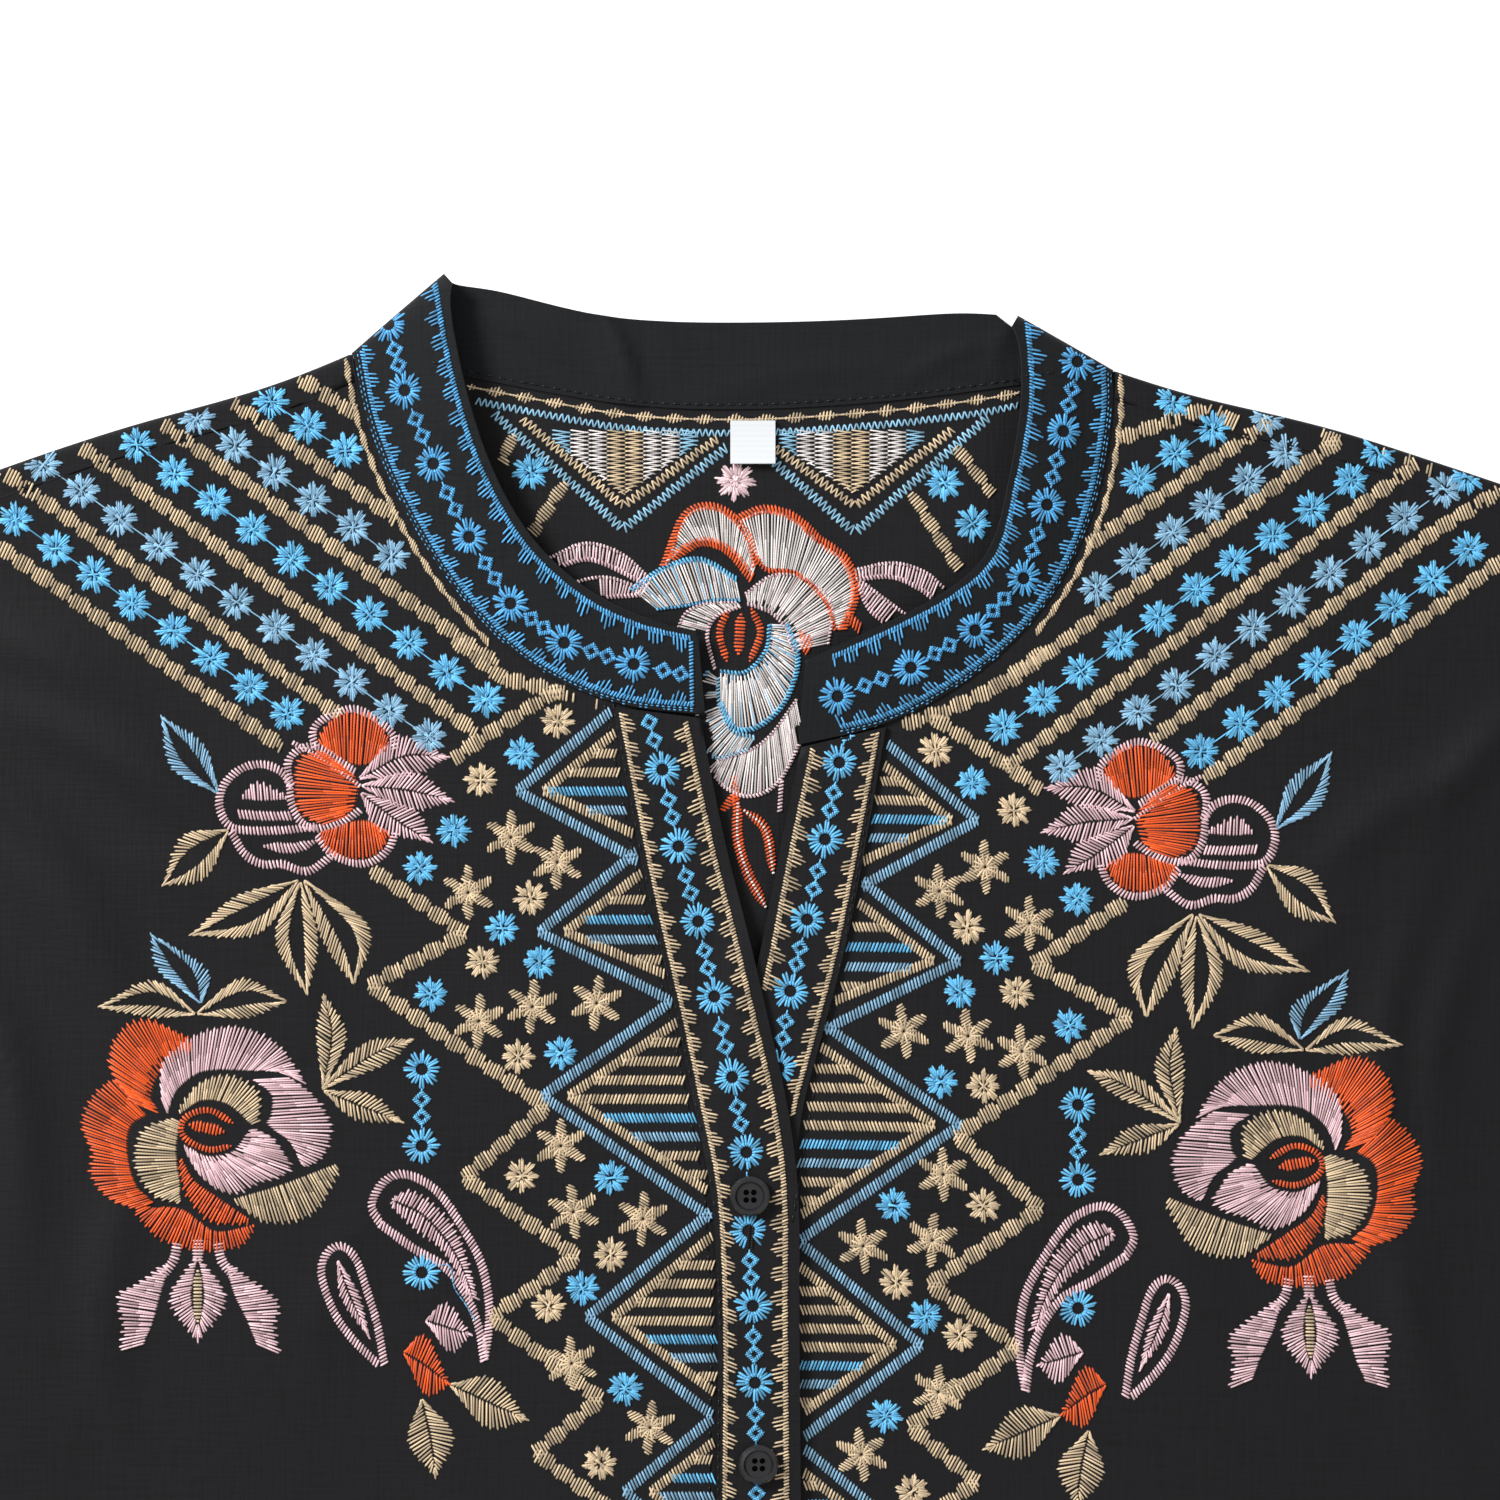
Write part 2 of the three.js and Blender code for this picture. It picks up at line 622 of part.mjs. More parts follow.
const solidOf = (geometry) => {
  const bare = geometry.clone().deleteAttribute("normal").deleteAttribute("uv");
  const merged = mergeVertices(bare, 1e-4);
  return new wasm.Manifold(
    new wasm.Mesh({
      numProp: 3,
      vertProperties: merged.attributes.position.array,
      triVerts: new Uint32Array(merged.index.array),
    }),
  );
};

const geometryOf = (solid) => {
  const mesh = solid.getMesh();
  const geometry = new THREE.BufferGeometry();
  geometry.setAttribute("position", new THREE.BufferAttribute(new Float32Array(mesh.vertProperties), 3));
  geometry.setIndex(new THREE.BufferAttribute(new Uint32Array(mesh.triVerts), 1));
  geometry.computeVertexNormals();
  return geometry;
};

// A four-hole button with a raised rim round a shallow well, its face up.
function buttonGeometry() {
  const radius = button.across / 2;
  const profile = [
    [0, 0],
    [radius - 1.0, 0],
    [radius - 0.25, 0.5],
    [radius, 1.1],
    [radius - 0.15, 1.9],
    [radius - 0.7, button.thick],
    [radius - 1.5, button.thick - 0.1],
    [radius - 2.1, button.thick - 0.75],
    [0, button.thick - 0.85],
  ].map(([r, z]) => new THREE.Vector2(r, z));
  let body = solidOf(new THREE.LatheGeometry(profile, steps.button).rotateX(Math.PI / 2));
  const holeRadius = button.holeAcross / 2;
  const hole = new THREE.CylinderGeometry(holeRadius, holeRadius, 3 * button.thick, steps.buttonHole);
  hole.rotateX(Math.PI / 2).translate(button.holeFromCentre, 0, 0).rotateZ(Math.PI / 4);
  for (let k = 0; k < 4; k++) {
    body = body.subtract(solidOf(hole));
    hole.rotateZ(Math.PI / 2);
  }
  return geometryOf(body);
}

// A small ribbon that hangs from the neck seam inside the back and curls up at its lower end.
function labelGeometry() {
  const seated = level.back + cloth.panel + cloth.gap;
  const rows = evenly(0, 1, steps.labelDown).map((v) =>
    evenly(label.left, label.right, steps.labelAcross).map((x) => {
      const y = THREE.MathUtils.lerp(label.top, label.bottom, v);
      return new THREE.Vector3(x, y, seated + label.curl * v * v);
    }),
  );
  return new Sheet().grid(rows, { flip: true }).wall(cloth.panel);
}

// ---- the blouse ----

const finish = {
  blackCloth: new THREE.MeshStandardMaterial({ color: 0x1d1d1f, roughness: 0.86, metalness: 0 }),
  blackButton: new THREE.MeshStandardMaterial({ color: 0x17171a, roughness: 0.32, metalness: 0 }),
  whiteLabel: new THREE.MeshStandardMaterial({ color: 0xe6e9ea, roughness: 0.6, metalness: 0 }),
};

const garment = new THREE.Group();
function add(name, geometry, material) {
  const mesh = new THREE.Mesh(geometry, material);
  mesh.name = name;
  garment.add(mesh);
  return mesh;
}

add("back_panel", backPanel(), finish.blackCloth);
add("front_panel", frontPanel(), finish.blackCloth);
add("sleeve_left", sleeve("left"), finish.blackCloth);
add("sleeve_right", sleeve("right"), finish.blackCloth);
add("collar_band", collarBand(), finish.blackCloth);
add("placket_under", placketUnderStrip(), finish.blackCloth);
add("placket_over", placketOverStrip(), finish.blackCloth);
add("size_label", labelGeometry(), finish.whiteLabel);

const buttonPlaces = [
  { name: "button_upper", x: 0.0, y: -236.6 },
  { name: "button_lower", x: 2.4, y: -311.6 },
];
for (const place of buttonPlaces) {
  const mesh = add(place.name, buttonGeometry(), finish.blackButton);
  const top = upper(place.x, place.y) + placketLift.over + cloth.panel / 2;
  mesh.position.set(place.x, place.y, top + cloth.gap);
}

// The origin is the middle of the footprint, on the surface that the blouse lies on.
const box = new THREE.Box3().setFromObject(garment);
garment.position.set(-(box.min.x + box.max.x) / 2, -(box.min.y + box.max.y) / 2, 0);

export default garment;
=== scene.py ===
# A black band-collar blouse with thread embroidery, laid out flat with its front up.
# Plan sizes are millimetres from the middle of the neck, level with its shoulder points: x right, y up.
import math
import bmesh
import bpy
import numpy as np
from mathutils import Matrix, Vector
from mathutils.bvhtree import BVHTree


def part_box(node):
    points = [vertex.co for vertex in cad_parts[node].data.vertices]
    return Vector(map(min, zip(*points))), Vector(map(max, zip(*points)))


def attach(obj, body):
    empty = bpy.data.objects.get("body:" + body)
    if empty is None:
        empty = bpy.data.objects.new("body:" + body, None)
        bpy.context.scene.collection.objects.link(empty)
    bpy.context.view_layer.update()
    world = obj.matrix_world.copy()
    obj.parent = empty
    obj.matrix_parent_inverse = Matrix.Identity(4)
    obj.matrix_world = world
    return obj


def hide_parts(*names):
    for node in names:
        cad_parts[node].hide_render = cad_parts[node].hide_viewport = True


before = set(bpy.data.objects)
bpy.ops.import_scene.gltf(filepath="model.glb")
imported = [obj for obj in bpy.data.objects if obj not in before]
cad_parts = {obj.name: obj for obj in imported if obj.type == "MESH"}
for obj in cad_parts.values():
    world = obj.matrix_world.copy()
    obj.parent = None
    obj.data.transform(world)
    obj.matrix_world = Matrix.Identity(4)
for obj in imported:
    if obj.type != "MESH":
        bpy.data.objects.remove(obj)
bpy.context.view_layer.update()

mm = 0.001
labelLow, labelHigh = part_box("size_label")
labelCorner = {"left": 5.5, "below": 17.6}  # where the label's top left corner lies on the plan
neckX = labelLow.x + labelCorner["left"] * mm
neckY = labelHigh.y + labelCorner["below"] * mm
chance = np.random.default_rng(11)


def srgb(red, green, blue):
    return tuple((c / 255) ** 2.2 for c in (red, green, blue)) + (1.0,)


def placed(name, data):
    thing = bpy.data.objects.new(name, data)
    bpy.context.collection.objects.link(thing)
    return thing


# Finishes: colours out of 255, and the pitch of the weave in metres.
clothFinish = {
    "body": {"colour": (23, 22, 24), "rough": 0.72, "sheen": 0.08, "weave": 0.00062},
    "band": {"colour": (26, 27, 29), "rough": 0.8, "sheen": 0.04, "weave": 0.00062},
}
threadColours = {
    "azure": (100, 188, 236),
    "deepAzure": (82, 170, 228),
    "greyBlue": (136, 183, 214),
    "tan": (217, 192, 156),
    "pink": (253, 200, 206),
    "orange": (255, 92, 24),
    "bobbin": (234, 226, 222),
    "paleBlue": (142, 194, 222),
    "palePink": (250, 206, 210),
    "black": (12, 12, 13),
}
ribbonFinish = {"dark": (196, 200, 204), "light": (232, 234, 236), "weave": 900.0, "uneven": 0.6}
resinFinish = {"dark": (24, 24, 26), "light": (42, 41, 44), "cloud": 320.0}


def setInputs(node, values):
    for name, value in values.items():
        node.inputs[name].default_value = value
    return node


def newMaterial(name, values):
    material = bpy.data.materials.new(name)
    material.use_nodes = True
    nodes, links = material.node_tree.nodes, material.node_tree.links
    return material, nodes, links, setInputs(nodes["Principled BSDF"], values)


def worked(nodes, links, operation, *terms):
    node = nodes.new("ShaderNodeMath")
    node.operation = operation
    for socket, term in zip(node.inputs, terms):
        if isinstance(term, float):
            socket.default_value = term
        else:
            links.new(term, socket)
    return node.outputs["Value"]


def bumped(nodes, links, shader, height, strength, distance):
    bump = setInputs(nodes.new("ShaderNodeBump"), {"Strength": strength, "Distance": distance})
    links.new(height, bump.inputs["Height"])
    links.new(bump.outputs["Normal"], shader.inputs["Normal"])


def shaded(nodes, links, shader, factor, dark, light, start=0.0):
    ramp = nodes.new("ShaderNodeValToRGB")
    for element, colour, position in zip(ramp.color_ramp.elements, (dark, light), (start, 1.0)):
        element.color = srgb(*colour)
        element.position = position
    links.new(factor, ramp.inputs["Fac"])
    links.new(ramp.outputs["Color"], shader.inputs["Base Color"])


def wovenCloth(name, row):
    material, nodes, links, shader = newMaterial(name, {
        "Roughness": row["rough"], "Sheen Weight": row["sheen"], "Sheen Roughness": 0.45,
        "Sheen Tint": (0.8, 0.85, 1.0, 1.0), "Specular IOR Level": 0.2,
    })
    place = nodes.new("ShaderNodeTexCoord").outputs["Object"]
    streaks = []  # slubs: long thin streaks of thicker yarn, both ways
    for stretch in ((0.08, 1.0, 1.0), (1.0, 0.08, 1.0)):
        mapping = setInputs(nodes.new("ShaderNodeMapping"), {"Scale": stretch})
        noise = setInputs(nodes.new("ShaderNodeTexNoise"), {"Scale": 0.55 / row["weave"], "Detail": 3.0})
        links.new(place, mapping.inputs["Vector"])
        links.new(mapping.outputs["Vector"], noise.inputs["Vector"])
        streaks.append(noise.outputs["Fac"])
    yarns = worked(nodes, links, "ADD", *streaks)
    bumped(nodes, links, shader, yarns, 0.5, 0.0003)
    # colour: fine yarn variation under slow, faint fading
    slow = setInputs(nodes.new("ShaderNodeTexNoise"), {"Scale": 14.0, "Detail": 2.0})
    links.new(place, slow.inputs["Vector"])
    mixed = worked(nodes, links, "MULTIPLY_ADD", slow.outputs["Fac"], 0.6, yarns)
    even = worked(nodes, links, "MULTIPLY", mixed, 0.77)
    dark, light = ([c * part for c in row["colour"]] for part in (0.92, 1.1))
    shaded(nodes, links, shader, even, dark, light, 0.7)
    return material


def threadMaterial(name, colour):
    material, nodes, links, shader = newMaterial(name, {
        "Roughness": 0.42, "Specular IOR Level": 0.4,
        "Sheen Weight": 0.15 * max(colour) / 255,  # dark thread has next to none
    })
    shade = nodes.new("ShaderNodeAttribute")
    shade.attribute_name = "shade"  # each stitch catches the light a little differently
    tint = nodes.new("ShaderNodeMix")
    tint.data_type = "RGBA"
    tint.inputs["A"].default_value = srgb(*(c * 0.62 for c in colour))
    tint.inputs["B"].default_value = srgb(*(min(255, c * 1.08) for c in colour))
    links.new(shade.outputs["Fac"], tint.inputs["Factor"])
    links.new(tint.outputs["Result"], shader.inputs["Base Color"])
    twist = setInputs(nodes.new("ShaderNodeTexWave"), {"Scale": 0.4})  # the ply, slanted across each stitch
    way = nodes.new("ShaderNodeUVMap")
    way.uv_map = "thread"
    links.new(way.outputs["UV"], twist.inputs["Vector"])
    bumped(nodes, links, shader, twist.outputs["Fac"], 0.35, 0.00008)
    return material


def ribbonWeave(finish):
    material, nodes, links, shader = newMaterial("woven_label", {"Roughness": 0.5, "Sheen Weight": 0.3})
    weave = nodes.new("ShaderNodeTexWave")
    weave.bands_direction = "Y"
    setInputs(weave, {"Scale": finish["weave"], "Distortion": finish["uneven"]})
    links.new(nodes.new("ShaderNodeTexCoord").outputs["Object"], weave.inputs["Vector"])
    shaded(nodes, links, shader, weave.outputs["Fac"], finish["dark"], finish["light"])
    return material


def buttonResin(finish):
    material, nodes, links, shader = newMaterial("button_resin", {
        "Roughness": 0.16, "Coat Weight": 0.35, "Coat Roughness": 0.12})
    cloud = setInputs(nodes.new("ShaderNodeTexNoise"), {"Scale": finish["cloud"]})
    links.new(nodes.new("ShaderNodeTexCoord").outputs["Object"], cloud.inputs["Vector"])
    shaded(nodes, links, shader, cloud.outputs["Fac"], finish["dark"], finish["light"])
    return material


clothMaterials = {name: wovenCloth("black_cloth_" + name, row) for name, row in clothFinish.items()}
threadNames = list(threadColours)
threadMaterials = [threadMaterial("thread_" + name, threadColours[name]) for name in threadNames]
labelMaterial = ribbonWeave(ribbonFinish)
buttonMaterial = buttonResin(resinFinish)
print("finishes made")

# Each cut piece: how fine it is made, its finish, and the ridges that lift its upper layer.
cutPieces = {
    "back_panel": {"levels": 2, "finish": "body", "lifts": ("back",)},
    "front_panel": {"levels": 3, "finish": "body", "lifts": ("front",)},
    "sleeve_left": {"levels": 2, "finish": "body", "lifts": ("front",)},
    "sleeve_right": {"levels": 2, "finish": "body", "lifts": ("front",)},
    "placket_under": {"levels": 2, "finish": "body", "lifts": ("front",)},
    "placket_over": {"levels": 2, "finish": "body", "lifts": ("front",)},
    "collar_band": {"levels": 3, "finish": "band", "lifts": ("front", "band")},
}

# Soft ridges in the upper layer: middle, direction of the crest, half length, half width, height.
frontRidges = [
    (-196, -86, -24, 30, 8, 2.6), (-170, -118, -33, 44, 7, 2.9), (-206, -128, -40, 34, 6, 2.2),
    (-190, -160, -52, 38, 8, 2.6), (-152, -150, -28, 22, 5, 1.0), (-128, -172, -64, 26, 6, 1.0),
    (-206, -206, -78, 40, 7, 2.6), (-180, -262, 84, 36, 7, 1.9), (-118, -262, 70, 24, 6, 0.8),
    (-100, -74, -36, 16, 5, 0.6), (-84, -92, -30, 12, 4, 0.5), (-70, -188, 62, 14, 5, 0.5),
    (180, -128, 34, 30, 7, 2.2), (176, -212, 88, 52, 6, 2.6), (193, -190, 80, 30, 6, 1.9),
    (204, -112, 48, 28, 6, 1.9), (150, -176, 58, 22, 5, 1.0), (120, -236, 100, 30, 6, 1.0),
    (186, -276, 96, 30, 7, 1.9), (98, -94, 34, 14, 5, 0.5), (66, -160, 120, 16, 5, 0.5),
    (-240, -150, 66, 30, 7, 2.1), (-262, -200, 40, 26, 8, 2.2), (244, -156, -60, 30, 7, 2.1),
    (264, -214, -36, 30, 8, 2.2), (-330, -160, 28, 46, 9, 2.6), (-360, -220, 52, 36, 8, 2.1),
    (-430, -270, 30, 50, 9, 2.4), (-500, -300, 44, 36, 8, 1.9), (340, -180, -34, 46, 9, 2.6),
    (372, -240, -52, 34, 8, 2.1), (440, -290, -40, 50, 9, 2.4), (506, -330, -46, 30, 8, 1.9),
    (-80, -420, 88, 60, 9, 2.4), (-150, -470, 80, 74, 10, 2.6), (-250, -560, 86, 66, 9, 2.2),
    (-40, -510, 96, 52, 8, 1.9), (40, -450, 84, 58, 9, 2.2), (100, -640, 92, 60, 10, 2.4),
    (166, -520, 82, 70, 9, 2.4), (250, -560, 94, 60, 9, 2.1), (-180, -650, 92, 50, 9, 2.1),
    (20, -660, 88, 44, 8, 1.9), (230, -360, 70, 44, 8, 1.9), (-236, -350, 108, 40, 8, 1.9),
    (-8, -392, 86, 26, 8, 1.2), (70, -372, 60, 34, 8, 1.1), (-76, -340, 120, 34, 8, 1.1),
]
# The back shows its inside through the neck: short puckers under the band and round the stitching.
backRidges = [
    (-64, -34, -62, 14, 5, 0.35), (-30, -30, 84, 10, 4, 0.3), (24, -34, 76, 12, 5, 0.35),
    (62, -32, 60, 14, 5, 0.35), (-42, -64, -40, 16, 6, 0.4), (40, -70, 46, 14, 6, 0.4),
    (0, -128, 82, 20, 5, 0.4), (8, -100, 70, 14, 5, 0.3),
]
# A crease and soft dents in the back of the collar band.
bandRidges = [
    (-34.8, -2, -71.5, 13, 1.7, 1.7), (-38.5, -1, -71.5, 14, 4.2, 1.1), (-70, 8, -20, 14, 3, 0.6),
    (-24, 4, -64, 8, 3, 0.4), (14, -6, 8, 30, 4, 0.5), (54, -2, 24, 14, 3, 0.6), (70, 2, 70, 8, 3, 0.5),
]
# Each set of ridges comes in over a band of heights in the cloth, so that the underside stays flat.
liftRows = {
    "front": {"ridges": frontRidges, "from": 1.0, "over": 0.3, "below": math.inf},
    "back": {"ridges": backRidges, "from": 0.4, "over": 0.5, "below": 1.2},
    "band": {"ridges": bandRidges, "from": 0.6, "over": 0.5, "below": math.inf},
}
clothMesh = {"weld": 0.02, "joinFaces": 0.7, "joinShapes": 1.2, "crease": 50, "sharp": 42}


def heightOf(ridges, x, y):
    total = np.zeros_like(x)
    for midX, midY, turn, length, width, height in ridges:
        angle = math.radians(turn)
        along = (x - midX) * math.cos(angle) + (y - midY) * math.sin(angle)
        across = (y - midY) * math.cos(angle) - (x - midX) * math.sin(angle)
        bend = across + along * along / (length * 7)  # no crease is quite straight
        total += height * np.exp(-((along / length) ** 2) - (bend / width) ** 2)
    return total


def softStep(value):
    value = np.clip(value, 0, 1)
    return value * value * (3 - 2 * value)


def refined(node, row):
    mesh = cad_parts[node].data.copy()
    form = bmesh.new()
    form.from_mesh(mesh)
    bmesh.ops.remove_doubles(form, verts=form.verts, dist=clothMesh["weld"] * mm)
    bmesh.ops.join_triangles(form, faces=form.faces, angle_face_threshold=clothMesh["joinFaces"],
                             angle_shape_threshold=clothMesh["joinShapes"])
    crease = form.edges.layers.float.new("crease_edge")
    for edge in form.edges:
        if edge.is_manifold and edge.calc_face_angle(0) > math.radians(clothMesh["crease"]):
            edge[crease] = 1.0
    form.to_mesh(mesh)
    form.free()
    piece = placed(node + "_cloth", mesh)
    smooth = piece.modifiers.new("finer", "SUBSURF")
    smooth.levels = smooth.render_levels = row["levels"]
    bpy.context.view_layer.update()
    fine = bpy.data.meshes.new_from_object(piece.evaluated_get(bpy.context.evaluated_depsgraph_get()))
    piece.modifiers.clear()
    piece.data = fine
    points = np.empty(len(fine.vertices) * 3)
    fine.vertices.foreach_get("co", points)
    points = points.reshape(-1, 3)
    x, y, z = (points[:, 0] - neckX) / mm, (points[:, 1] - neckY) / mm, points[:, 2] / mm
    for lift in (liftRows[name] for name in row["lifts"]):
        rise = heightOf(lift["ridges"], x, y) * softStep((z - lift["from"]) / lift["over"])
        points[:, 2] += rise * (z < lift["below"]) * mm
    fine.vertices.foreach_set("co", points.ravel())
    fine.shade_smooth()
    fine.set_sharp_from_angle(angle=math.radians(clothMesh["sharp"]))
    fine.materials.clear()
    fine.materials.append(clothMaterials[row["finish"]])
    fine.update()
    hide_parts(node)
    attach(piece, "root")
    return piece


clothOf = {node: refined(node, row) for node, row in cutPieces.items()}
for node, piece in clothOf.items():
    print("cloth", node, len(piece.data.polygons) * 2, "triangles")

# A map of what lies on top, and how high: a grid over the whole blouse, in steps of a millimetre.
mapLow = np.array([-578.0, -742.0])
mapStep = 1.0
mapCount = (1157, 774)
clothNames = list(clothOf)
topHeight = np.full(mapCount, -1.0)
topPiece = np.full(mapCount, -1)
trees = {}
dropFrom = 0.1
down = Vector((0, 0, -1))


def topOf(tree, x, y):
    # how high a piece's upper side lies, or -1 beside the piece
    hit = tree.ray_cast(Vector((neckX + x * mm, neckY + y * mm, dropFrom)), down)[0]
    return hit.z / mm if hit else -1.0


for index, (node, piece) in enumerate(clothOf.items()):
    mesh = piece.data
    corners = [v.co for v in mesh.vertices]
    tree = trees[node] = BVHTree.FromPolygons(corners, [p.vertices for p in mesh.polygons])
    flat = np.array(corners)[:, :2] / mm - (neckX / mm, neckY / mm)
    low = np.clip(np.floor((flat.min(axis=0) - mapLow) / mapStep), 0, None).astype(int)
    high = np.ceil((flat.max(axis=0) - mapLow) / mapStep).astype(int) + 1
    for i in range(low[0], min(high[0], mapCount[0])):
        for j in range(low[1], min(high[1], mapCount[1])):
            height = topOf(tree, mapLow[0] + i * mapStep, mapLow[1] + j * mapStep)
            if height > topHeight[i, j]:
                topHeight[i, j] = height
                topPiece[i, j] = index
print("surface mapped")


def spotOnMap(points):
    spot = (points - mapLow) / mapStep
    return np.clip(spot, 0, (mapCount[0] - 1.001, mapCount[1] - 1.001))


def surfaceAt(points):
    spot = spotOnMap(points)
    i, j = spot[:, 0].astype(int), spot[:, 1].astype(int)
    u, v = spot[:, 0] - i, spot[:, 1] - j
    near, right = topHeight[i, j], topHeight[i + 1, j]
    up, far = topHeight[i, j + 1], topHeight[i + 1, j + 1]
    return (near * (1 - u) + right * u) * (1 - v) + (up * (1 - u) + far * u) * v


def liesOn(points, nodes):
    spot = np.rint(spotOnMap(points)).astype(int)
    allowed = [clothNames.index(node) for node in nodes]
    return np.isin(topPiece[spot[:, 0], spot[:, 1]], allowed)


# Stitches: each is a row of x, y, x, y, width, colour and lift, kept under the name of its piece.
bodice = ("front_panel", "back_panel")
needle = {"step": 1.0, "width": 0.66, "height": 0.36, "sink": 0.06, "uneven": 0.07, "tip": 0.3}
work = {}
# The right half follows the left one mirrored, a little lower, and leans with the placket.
rightHalf = {"shift": 1.96, "start": 102, "lean": 0.0261, "lower": 7.0, "slope": 0.02}


def toRight(points):
    x, y = points[:, 0], points[:, 1]
    return np.column_stack([
        -x - rightHalf["shift"] - (rightHalf["start"] + y) * rightHalf["lean"],
        y - rightHalf["lower"] - rightHalf["slope"] * np.abs(x),
    ])


def sew(piece, colour, starts, ends, width=None, lift=0.0, on=bodice, both=False):
    # keep each stitch that lies wholly on these pieces, on the left half or on both
    starts = np.asarray(starts, float).reshape(-1, 2)
    ends = np.asarray(ends, float).reshape(-1, 2)
    sides = [(starts, ends)]
    if both:
        sides.append((toRight(starts), toRight(ends)))
    for a, b in sides:
        keep = liesOn(a, on) & liesOn(b, on) & liesOn((a + b) / 2, on)
        a, b = a[keep], b[keep]
        rest = np.empty((len(a), 3))
        rest[:] = (width or needle["width"], threadNames.index(colour), lift)
        work.setdefault(piece, []).append(np.column_stack([a, b, rest]))


def smoothed(points, between=14):
    # a curve through the points, with so many steps between each two
    p = np.array(points, float)
    if len(p) < 3:
        return p
    ends = np.vstack([2 * p[0] - p[1], p, 2 * p[-1] - p[-2]])
    t = np.linspace(0, 1, between, endpoint=False)[:, None]
    parts = [
        0.5 * (2 * b + (c - a) * t + (2 * a - 5 * b + 4 * c - d) * t**2 + (3 * b - a - 3 * c + d) * t**3)
        for a, b, c, d in zip(ends, ends[1:], ends[2:], ends[3:])
    ]
    return np.vstack(parts + [p[-1:]])


def lengthOf(line):
    return np.concatenate([[0], np.cumsum(np.linalg.norm(np.diff(line, axis=0), axis=1))])


def spaced(line, count, slide=0.0):
    run = lengthOf(line)
    at = np.clip(np.linspace(0, 1, count) + slide, 0, 1) * run[-1]
    return np.column_stack([np.interp(at, run, line[:, 0]), np.interp(at, run, line[:, 1])])


def walk(points, step, curved=True):
    # even spots along a line, the way it runs there, and how far along each lies
    line = smoothed(points) if curved else np.array(points, float)
    run = lengthOf(line)
    count = max(2, round(run[-1] / step) + 1)
    spots = spaced(line, count)
    way = np.gradient(spots, axis=0)
    way /= np.maximum(np.linalg.norm(way, axis=1), 1e-9)[:, None]
    return spots, way, np.linspace(0, run[-1], count)


def turned(way, degrees):
    angle = np.radians(degrees)
    cos, sin = np.cos(angle), np.sin(angle)
    return np.column_stack([way[:, 0] * cos - way[:, 1] * sin, way[:, 0] * sin + way[:, 1] * cos])


def heading(degrees):
    angle = np.radians(degrees)
    return np.column_stack([np.cos(angle), np.sin(angle)])


def onward(start, end, more=5.0):
    # a little further on from the end
    return end + (end - start) / np.linalg.norm(end - start) * more


def uneven(count, amount):
    return 1 + chance.uniform(-amount, amount, count)


def satin(piece, colour, points, width, lean=0, curved=True, taper=0.0, **rest):
    spots, way, at = walk(points, needle["step"], curved)
    half = width / 2 * uneven(len(at), needle["uneven"])
    if taper:
        ends = np.minimum(at, at[-1] - at)
        half *= np.clip(needle["tip"] + ends / taper, 0, 1)
    across = turned(way, 90 + lean) * half[:, None]
    sew(piece, colour, spots - across, spots + across, **rest)


ropeShape = {
    "pitch": 0.95, "follow": 0.8, "uneven": 0.1,
    "at": (0, 0.16, 0.5, 0.84, 1), "swell": (0.56, 0.92, 1, 0.92, 0.56),  # the height through one block
}
combShape = {
    "spine": {"pitch": 0.9, "half": 0.95, "lean": 1.6, "uneven": 0.15, "width": 0.62},
    "teeth": {"each": 6.2, "stray": 0.12, "uneven": 0.12, "shortest": 0.5, "width": 0.54, "lift": 0.08},
    "at": (0, 0.16, 0.32, 0.48, 0.64, 0.8, 1), "size": (0.5, 0.85, 1, 0.86, 0.6, 0.3, 0.2),
}


def rope(piece, colour, points, tall=5.0, clump=6.5, steeper=10, **rest):
    # blocks of upright stitches that follow each other in steps
    for a, b in zip(points, points[1:]):
        spots, way, at = walk([a, b], ropeShape["pitch"])
        angle = (np.degrees(np.arctan2(way[:, 1], way[:, 0])) + 90) % 180
        angle += np.sign(90 - angle) * steeper
        along = heading(angle)
        phase = (at / clump) % 1
        slip = (phase - 0.5) * clump * np.sum(way * along, axis=1)  # how far a stitch has left its block
        middle = spots - along * (slip * ropeShape["follow"])[:, None]
        swell = np.interp(phase, ropeShape["at"], ropeShape["swell"])
        half = tall / 2 * swell * uneven(len(at), ropeShape["uneven"])
        sew(piece, colour, middle - along * half[:, None], middle + along * half[:, None], **rest)


def comb(piece, colour, points, side, reach=4.3, group=7.1, lean=0, curved=True, **rest):
    # a narrow spine of close slanted stitches, with longer teeth standing out of it in sixes
    spine, teeth = combShape["spine"], combShape["teeth"]
    spots, way, at = walk(points, spine["pitch"], curved)
    slant = turned(way, 90 * side + lean * spine["lean"])
    across = slant * spine["half"] * uneven(len(at), spine["uneven"])[:, None]
    sew(piece, colour, spots - across, spots + across, spine["width"], **rest)
    spots, way, at = walk(points, group / teeth["each"], curved)
    spots += way * chance.uniform(-teeth["stray"], teeth["stray"], len(at))[:, None]
    size = np.interp(at / group % 1, combShape["at"], combShape["size"])
    length = reach * size * uneven(len(at), teeth["uneven"])
    tips = spots + turned(way, 90 * side + lean) * length[:, None]
    keep = length > reach * teeth["shortest"]
    sew(piece, colour, spots[keep], tips[keep], teeth["width"], teeth["lift"], **rest)


